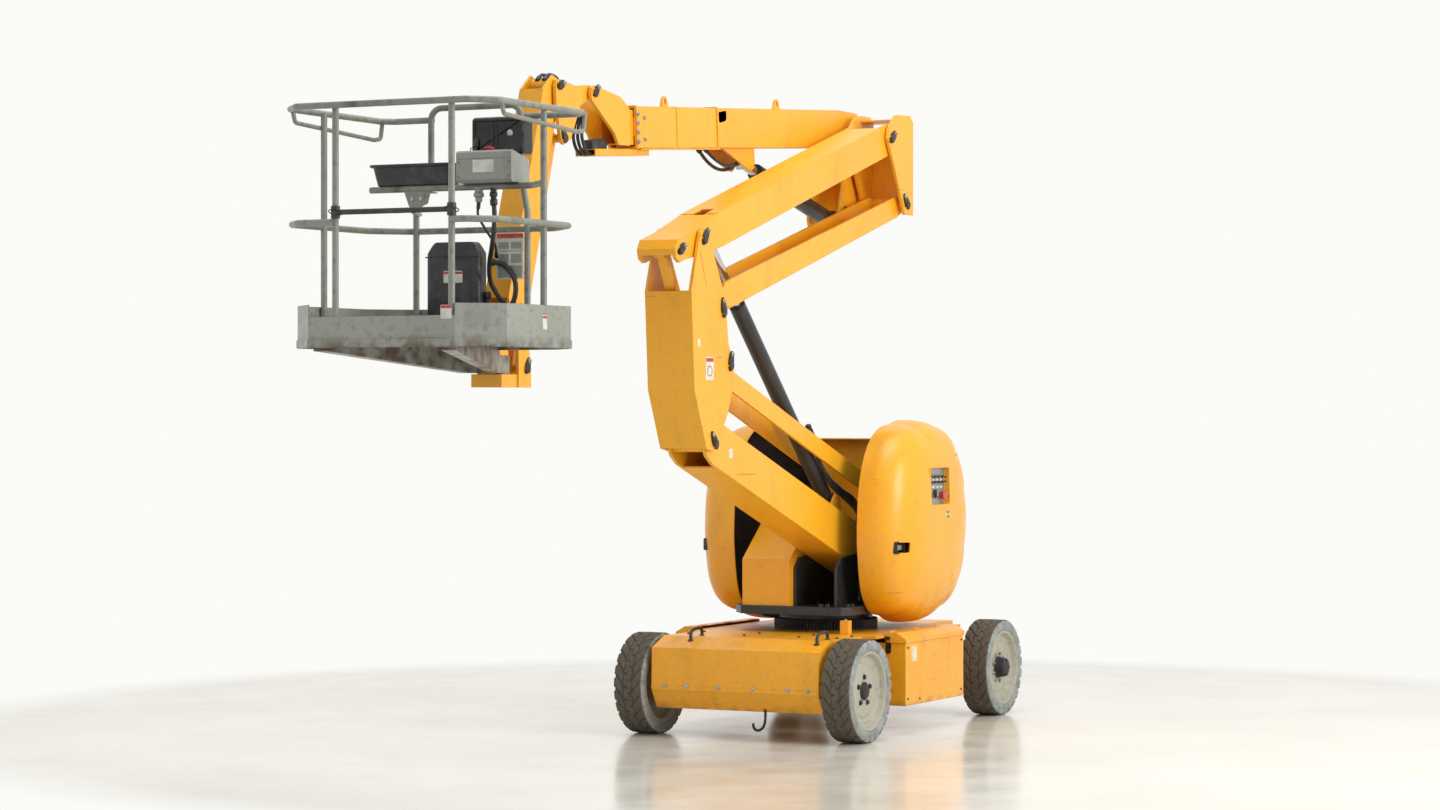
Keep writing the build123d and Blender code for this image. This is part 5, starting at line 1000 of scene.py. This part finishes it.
# ---------------------------------------------------------------- basket fittings
DESK_LOW, DESK_HIGH = corners("console")
TRAY_LOW, TRAY_HIGH = corners("tool_tray")
SCREEN_LOW, SCREEN_HIGH = corners("screen_hood")
PAPERS_LOW, PAPERS_HIGH = corners("document_box")
FLOOR_LOW, FLOOR_HIGH = corners("basket_floor")


def tray():
    """A vacuum-formed tray: rounded outlines that shrink towards the bottom, up the outside, over a rolled
    lip and down the inside."""
    low, high = TRAY_LOW, TRAY_HIGH
    middle = (low + high) / 2
    width, depth = high[0] - low[0], high[1] - low[1]
    rise = high[2] - low[2]
    # Each ring: how far it is drawn in, and its height over the tray's foot.
    levels = ((0.036, 0.0), (0.030, 0.006), (0.014, rise - 0.016), (0.004, rise - 0.014), (0.0, rise - 0.008),
              (0.002, rise), (0.014, rise), (0.018, rise - 0.010), (0.034, 0.010), (0.042, 0.005))
    rings = []
    for shrink, height in levels:
        outline = rectangle(width - 2 * shrink, depth - 2 * shrink, 0.035)
        rings.append(np.stack((middle[0] + outline[:, 0], middle[1] + outline[:, 1],
                               low[2] + height + 0 * outline[:, 0]), -1))
    return skin(np.array(rings))


made = piece("moulded_tool_tray", "basket", [(tray(), PLASTIC)])
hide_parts("tool_tray")


def screen():
    """The glossy hood: its rounded front outline set out through its depth, with a drawn-in face."""
    low, high = SCREEN_LOW, SCREEN_HIGH
    middle = (low + high) / 2
    outline = rectangle(high[1] - low[1], high[2] - low[2] - 0.030, 0.022)
    # Each ring: how far it is drawn in, and its place through the hood's depth.
    levels = ((0.006, 0.0), (0.0, 0.008), (0.0, 0.086), (0.008, 0.098), (0.020, 0.098), (0.024, 0.090))
    rings = []
    for shrink, depth in levels:
        ring = drawn_in(outline, shrink)
        rings.append(np.stack((low[0] + depth + 0 * ring[:, 0], middle[1] + ring[:, 0],
                               middle[2] + 0.013 + ring[:, 1]), -1))
    return skin(np.array(rings))


screen_mid = (SCREEN_LOW + SCREEN_HIGH) / 2
lens = turned(((0, 0.017), (0.004, 0.017), (0.006, 0.014), (0.008, 0.010)),
               (SCREEN_HIGH[0] - 0.012, 0.170, 3.245), X, 24)
ribs = several([board(rectangle(0.006, 0.120, 0.002), 0.006,
                      (SCREEN_HIGH[0] - 0.011, y, screen_mid[2] + 0.010), Y, Z, 0.001)
                for y in (0.075, 0.095)])
stays = several([board(rectangle(0.030, 0.090, 0.004), 0.004,
                       (SCREEN_LOW[0] + 0.060, y, SCREEN_LOW[2] + 0.030), Y, Z, 0.001) for y in (0.0, 0.20)])
made = piece("glossy_screen_hood", "basket", [(screen(), GLOSS_PLASTIC), (lens, ZINC), (ribs, PLASTIC),
                                              (stays, BLACK_PAINT)])
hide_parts("screen_hood")


def papers():
    """The moulded box for papers: rounded plan outlines from its foot to its sloping shoulders."""
    low, high = PAPERS_LOW, PAPERS_HIGH
    middle = (low + high) / 2
    width, depth, rise = high[0] - low[0], high[1] - low[1], high[2] - low[2]
    # Each ring: how far it is drawn in, and its height over the box's foot.
    levels = ((0.006, 0.0), (0.0, 0.010), (0.0, rise - 0.060), (0.003, rise - 0.050), (0.006, rise - 0.045),
              (0.020, rise - 0.018), (0.030, rise - 0.004), (0.040, rise))
    rings = []
    for shrink, height in levels:
        outline = rectangle(width - min(shrink, 0.03) * 1.2, depth - 2 * shrink, 0.030)
        rings.append(np.stack((middle[0] + outline[:, 0], middle[1] + outline[:, 1],
                               low[2] + height + 0 * outline[:, 0]), -1))
    return skin(np.array(rings))


lid_line = PAPERS_HIGH[2] - 0.075
face_x = PAPERS_HIGH[0]
groove = board(rectangle(PAPERS_HIGH[1] - PAPERS_LOW[1] + 0.004, 0.006, 0.002), 0.0035,
               (face_x - 0.0015, (PAPERS_LOW[1] + PAPERS_HIGH[1]) / 2, lid_line), Y, Z, 0.001)
clip = board(rectangle(0.030, 0.045, 0.005), 0.008, (face_x, -0.20, lid_line - 0.002), Y, Z, 0.002)
made = piece("moulded_document_box", "basket", [
    (papers(), PLASTIC), (groove, GLOSS_PLASTIC), (clip, BLACK_IRON),
    (board(rectangle(0.110, 0.060, 0.005), 0.0012, (face_x, -0.195, 2.545), Y, Z, 0.0003), LABEL),
    (board(rectangle(0.106, 0.012, 0.002), 0.0006, (face_x + 0.0012, -0.195, 2.565), Y, Z, 0.0002), RED)])
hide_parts("document_box")

desk_mid = (DESK_LOW + DESK_HIGH) / 2
DESK_FRONT_RISE = 0.116
fall = (DESK_HIGH[2] - (DESK_LOW[2] + DESK_FRONT_RISE)) / (DESK_HIGH[0] - 0.014 - DESK_LOW[0])
top_right = np.array([1, 0, fall]) / hypot(1, fall)
top_out = np.array([-fall, 0, 1]) / hypot(1, fall)


def on_desk(x, y, lift=0.0):
    """A place on the desk's sloping top, by its X and Y."""
    return np.array([x, y, DESK_LOW[2] + DESK_FRONT_RISE + (x - DESK_LOW[0]) * fall]) + top_out * lift


cover = board(rectangle(0.150, 0.290, 0.008), 0.003, on_desk(desk_mid[0] - 0.006, desk_mid[1]),
              top_right, Y, 0.0008)
switch_places = [(x, y) for y in np.linspace(0.0, 0.21, 6) for x in (4.045, 4.095)]
SWITCH = ((0, 0.0075), (0.003, 0.0075), (0.004, 0.0040), (0.018, 0.0034), (0.024, 0.0055), (0.030, 0.0050),
          (0.032, 0.002))
switches = several([turned(SWITCH, on_desk(x, y, 0.003), top_out + 0.25 * Y * (1 if number % 2 else -1), 12)
                    for number, (x, y) in enumerate(switch_places)])
GUARD_X, GUARD_HALF, GUARD_RISE = 4.140, 0.016, 0.022
GUARD = ((-GUARD_HALF, 0.001), (-GUARD_HALF, GUARD_RISE), (GUARD_HALF, GUARD_RISE), (GUARD_HALF, 0.001))
guards = several([bar([on_desk(GUARD_X, y + step, rise) for step, rise in GUARD], 0.0025, X, 6, 8)
                  for y in (0.02, 0.19)])
stop = turned(((0, 0.012), (0.010, 0.012), (0.011, 0.024), (0.020, 0.026), (0.025, 0.018), (0.026, 0.006)),
              on_desk(4.130, 0.105, 0.003), top_out, 24)
STICK = ((0, 0.026), (0.004, 0.026), (0.012, 0.018), (0.016, 0.010), (0.050, 0.009), (0.052, 0.016),
         (0.080, 0.018), (0.094, 0.014), (0.100, 0.005))
stick = turned(STICK, on_desk(4.060, -0.020, 0.003), top_out, 20)
front_x = DESK_HIGH[0]
seam_line = several([board(rectangle(0.300, 0.003, 0.001), 0.0012,
                           (front_x, desk_mid[1], DESK_LOW[2] + 0.118), Y, Z, 0.0003),
                     bolts([(front_x, y, z) for y in (-0.040, 0.245)
                            for z in (DESK_LOW[2] + 0.03, DESK_LOW[2] + 0.10)], X, 0.007)])
face_label = board(rectangle(0.120, 0.062, 0.004), 0.0010, (front_x, 0.100, 3.077), Y, Z, 0.0003)
made = piece("control_desk_fittings", "basket", [
    (cover, PANEL), (switches, BLACK_PAINT), (guards, OILED_STEEL), (stop, RED), (stick, PLASTIC),
    (seam_line, CONSOLE_GREY), (face_label, LABEL)])

bracket_x = 4.103
flag = rounded(((-0.400, 2.970), (-0.245, 2.970), (-0.262, 2.905), (-0.318, 2.885), (-0.352, 2.872),
                (-0.372, 2.895)), 0.010)
stay_line = [(bracket_x, -0.345, 2.885), (bracket_x - 0.06, -0.385, 2.870),
             (bracket_x - 0.235, -0.455, 2.868)]
bracket = several([board(flag, 0.006, (bracket_x, 0, 0), Y, Z, 0.001),
                   board(rectangle(0.060, 0.160, 0.006), 0.006, (bracket_x - 0.030, -0.322, 2.958),
                         X, Y, 0.001),
                   bar(stay_line, 0.012, Z, 6, 10)])
bracket_bolts = bolts([(bracket_x + 0.006, y, 2.930) for y in (-0.300, -0.350)], X, 0.014)
made = piece("shelf_bracket", "basket", [(bracket, RAIL_GREY), (bracket_bolts, ZINC)])

sign = board(rectangle(0.156, 0.230, 0.006), 0.003, (3.886, 0.082, 2.647), Y, Z, 0.0008)
header = board(rectangle(0.150, 0.022, 0.002), 0.0008, (3.889, 0.082, 2.747), Y, Z, 0.0002)
# Each pane: its width, height, and the Y and Z of its middle.
PANES = ((0.060, 0.034, 0.045, 2.700), (0.060, 0.034, 0.118, 2.700), (0.135, 0.004, 0.082, 2.672),
         (0.060, 0.045, 0.045, 2.635), (0.060, 0.045, 0.118, 2.635), (0.135, 0.060, 0.082, 2.570))
panes = several([board(rectangle(width, height, 0.002), 0.0006, (3.889, y, z), Y, Z, 0.0002)
                 for width, height, y, z in PANES])
straps = several([bar([(3.862, 0.168, z), (3.876, 0.150, z), (3.887, 0.130, z)], 0.002, Z, 5, 8)
                  for z in (2.560, 2.735)])
made = piece("blank_sign_plate", "basket", [(sign, LABEL), (header, RED), (panes, CONSOLE_GREY),
                                            (straps, BLACK_IRON)])

toe_front = FLOOR_HIGH[0]
corner_y = FLOOR_HIGH[1] - 0.180
toe_shell = board(rectangle(0.062, 0.066, 0.004), 0.0010, (toe_front, corner_y - 0.045, 2.345), Y, Z, 0.0003)
toe_header = board(rectangle(0.058, 0.014, 0.002), 0.0006, (toe_front + 0.001, corner_y - 0.045, 2.369), Y, Z,
                   0.0002)
side_shell = board(rectangle(0.042, 0.070, 0.004), 0.0010, (4.278, FLOOR_HIGH[1], 2.304), -X, Z, 0.0003)
side_header = board(rectangle(0.038, 0.014, 0.002), 0.0006, (4.278, FLOOR_HIGH[1] + 0.001, 2.329), -X, Z,
                    0.0002)
made = piece("toe_board_labels", "basket", [(toe_shell, LABEL), (toe_header, RED), (side_shell, LABEL),
                                            (side_header, RED)])


def plan_of_floor(grow, height):
    """The basket floor's plan, grown a little, at one height."""
    x0, y0 = FLOOR_LOW_PLAN
    x1, y1 = toe_front, FLOOR_HIGH[1]
    c = 0.180
    outline = np.array([(x1, y0 + c), (x1, y1 - c), (x1 - c, y1), (x0 + c, y1), (x0, y1 - c), (x0, y0 + c),
                        (x0 + c, y0), (x1 - c, y0)])
    outline = drawn_in(outline, -grow)
    return np.column_stack((outline, np.full(len(outline), height)))


FLOOR_LOW_PLAN = (toe_front - 0.980, FLOOR_LOW[1])
lip = skin(np.array([plan_of_floor(grow, height) for grow,
                     height in ((0.0, 2.181), (0.006, 2.183), (0.006, 2.219), (0.0, 2.225), (-0.002, 2.225),
                                (-0.002, 2.181))]), True)
made = piece("floor_edge_lip", "basket", [(lip, BASKET_GREY)])
bar_low, bar_high = corners("entry_bar")
bar_z, bar_x = (bar_low[2] + bar_high[2]) / 2, (bar_low[0] + bar_high[0]) / 2
eyes = []
for y in (bar_low[1] + 0.022, bar_high[1] - 0.022):
    angle = np.linspace(0, 2 * pi, 22)
    loop = np.stack((bar_x + 0.030 * np.cos(angle), y + 0.034 * np.sin(angle), bar_z + 0.012 * np.cos(angle)),
                    -1)
    eyes.append(carried(loop, circle(0.0028, 8), Z))
made = piece("entry_bar_rings", "entry_bar", [(several(eyes), OILED_STEEL)])

plugs = []
for y, size in ((0.028, 0.021), (0.112, 0.016)):
    plugs.append((turned(((0, size), (0.030, size), (0.034, size * 1.25), (0.050, size * 1.25),
                          (0.054, size * 0.9), (0.075, size * 0.8), (0.080, size * 0.5)),
                         (4.100, y, DESK_LOW[2] - 0.014), -Z, 24), CONSOLE_GREY if y < 0.05 else HOSE))
cables = []
cables += hose([(4.100, 0.028, 2.905), (4.096, 0.022, 2.840), (4.060, 0.045, 2.770), (3.980, 0.050, 2.700),
                (3.915, 0.020, 2.640)], 0.0065)
cables += hose([(4.100, 0.112, 2.920), (4.098, 0.116, 2.820), (4.075, 0.090, 2.700), (3.985, 0.020, 2.600),
                (3.930, -0.005, 2.520), (3.905, 0.030, 2.440), (3.880, 0.050, 2.400)], 0.012)
cables += hose([(3.930, -0.020, 2.620), (3.905, 0.060, 2.600), (3.895, 0.115, 2.520), (3.895, 0.105, 2.420),
                (3.900, 0.040, 2.375), (3.905, -0.030, 2.400), (3.900, -0.040, 2.470)], 0.013)
made = piece("desk_cables", "basket", plugs + cables)

CARRIER_TOP = corners("basket_carrier")[1][2]
cap_places = [(PIVOT["basket_swing"][0] + 0.05 * cos(a), BOOM_MID + 0.05 * sin(a), CARRIER_TOP) for a in
              np.linspace(0, 2 * pi, 6, endpoint=False)]
fastened("swivel_cap_bolts", "basket_carrier", cap_places, Z, 0.016)
valve_hoses = []
for k in (-0.02, 0.02):
    valve_hoses += hose([(PIVOT["jib_lift"][0] - 0.150, BOOM_MID + k, PIVOT["jib_lift"][2] + 0.010),
                         (PIVOT["jib_lift"][0] - 0.100, BOOM_MID + k, PIVOT["jib_lift"][2] + 0.052),
                         (PIVOT["jib_lift"][0] - 0.020, BOOM_MID + k, PIVOT["jib_lift"][2] + 0.060),
                         (PIVOT["jib_lift"][0] + 0.030, BOOM_MID + k, PIVOT["jib_lift"][2] + 0.025)], 0.009)
made = piece("head_hoses", "jib_head", valve_hoses)


# ---------------------------------------------------------------- studio
def studio_floor():
    """A pale polished floor that fades to white at its rim, where the backdrop begins."""
    material, tree, surface, place = finish("pale_polished_floor", IOR=1.45)
    tone = over(tree, between(tree, noise(tree, place, 0.8, 3.0), 0.35, 0.65), colour("#DEDACF"),
                colour("#E8E5DC"))
    tree.links.new(tone, surface.inputs["Base Color"])
    tree.links.new(between(tree, noise(tree, place, 3.0, 3.0), 0.3, 0.7, 0.13, 0.22),
                   surface.inputs["Roughness"])
    away = add(tree, "ShaderNodeVectorMath", {0: place}, operation="LENGTH").outputs["Value"]
    white = add(tree, "ShaderNodeEmission", {"Color": colour("#FBFBF8"), "Strength": 1.0})
    blend = add(tree, "ShaderNodeMixShader", {0: between(tree, away, 4.9, 5.6), 1: surface.outputs["BSDF"],
                                              2: white.outputs["Emission"]})
    tree.links.new(blend.outputs["Shader"], tree.nodes["Material Output"].inputs["Surface"])
    angle = np.linspace(0, 2 * pi, 96, endpoint=False)
    rings = np.linspace(0.05, 5.6, 24)
    grid = rings[:, None, None] * np.stack((np.cos(angle), np.sin(angle), angle * 0), -1)[None]
    mesh = bpy.data.meshes.new("studio_floor")
    mesh.from_pydata(grid.reshape(-1, 3).tolist(), [], faces_of_grid(24, 96) + [list(range(96))])
    mesh.materials.append(material)
    floor = bpy.data.objects.new("studio_floor", mesh)
    bpy.context.scene.collection.objects.link(floor)


def lamp(name, place, aim, size, power, tint="#FFFFFF"):
    """A large soft lamp aimed at a point."""
    light = bpy.data.lights.new(name, "AREA")
    light.shape, light.size, light.energy = "DISK", size, power
    light.color = colour(tint)[:3]
    holder = bpy.data.objects.new(name, light)
    holder.location = place
    holder.rotation_euler = (Vector(aim) - Vector(place)).to_track_quat("-Z", "Y").to_euler()
    bpy.context.scene.collection.objects.link(holder)


def studio():
    """White surroundings, broad lamps overhead and at the machine's left, and the camera."""
    world = bpy.data.worlds.new("studio_white")
    bpy.context.scene.world = world
    world.use_nodes = True
    tree = world.node_tree
    ray = add(tree, "ShaderNodeLightPath").outputs
    seen = sums(tree, "MAXIMUM", sums(tree, "MAXIMUM", ray["Is Camera Ray"], ray["Is Glossy Ray"]),
                ray["Is Transmission Ray"])
    tree.nodes["Background"].inputs["Color"].default_value = colour("#FBFBF8")
    tree.links.new(between(tree, seen, 0.0, 1.0, AMBIENT, 1.0), tree.nodes["Background"].inputs["Strength"])
    lamp("left_lamp", (2.0, 9.0, 4.5), (0.8, 0.0, 1.8), 5.0, 430, "#FFFDF8")
    lamp("top_lamp", (1.5, 1.0, 8.5), (1.2, 0.0, 1.0), 6.0, 260)
    camera = bpy.data.cameras.new("camera")
    camera.lens, camera.sensor_width = 86.3, 36.0
    camera.clip_end = 200
    holder = bpy.data.objects.new("camera", camera)
    holder.location = (18.7452, 8.7467, 1.9061)
    holder.rotation_euler = (pi / 2, 0, radians(206.77 - 90))
    bpy.context.scene.collection.objects.link(holder)
    bpy.context.scene.camera = holder
    bpy.context.scene.view_settings.view_transform = "Standard"


AMBIENT = 0.72
studio_floor()
studio()
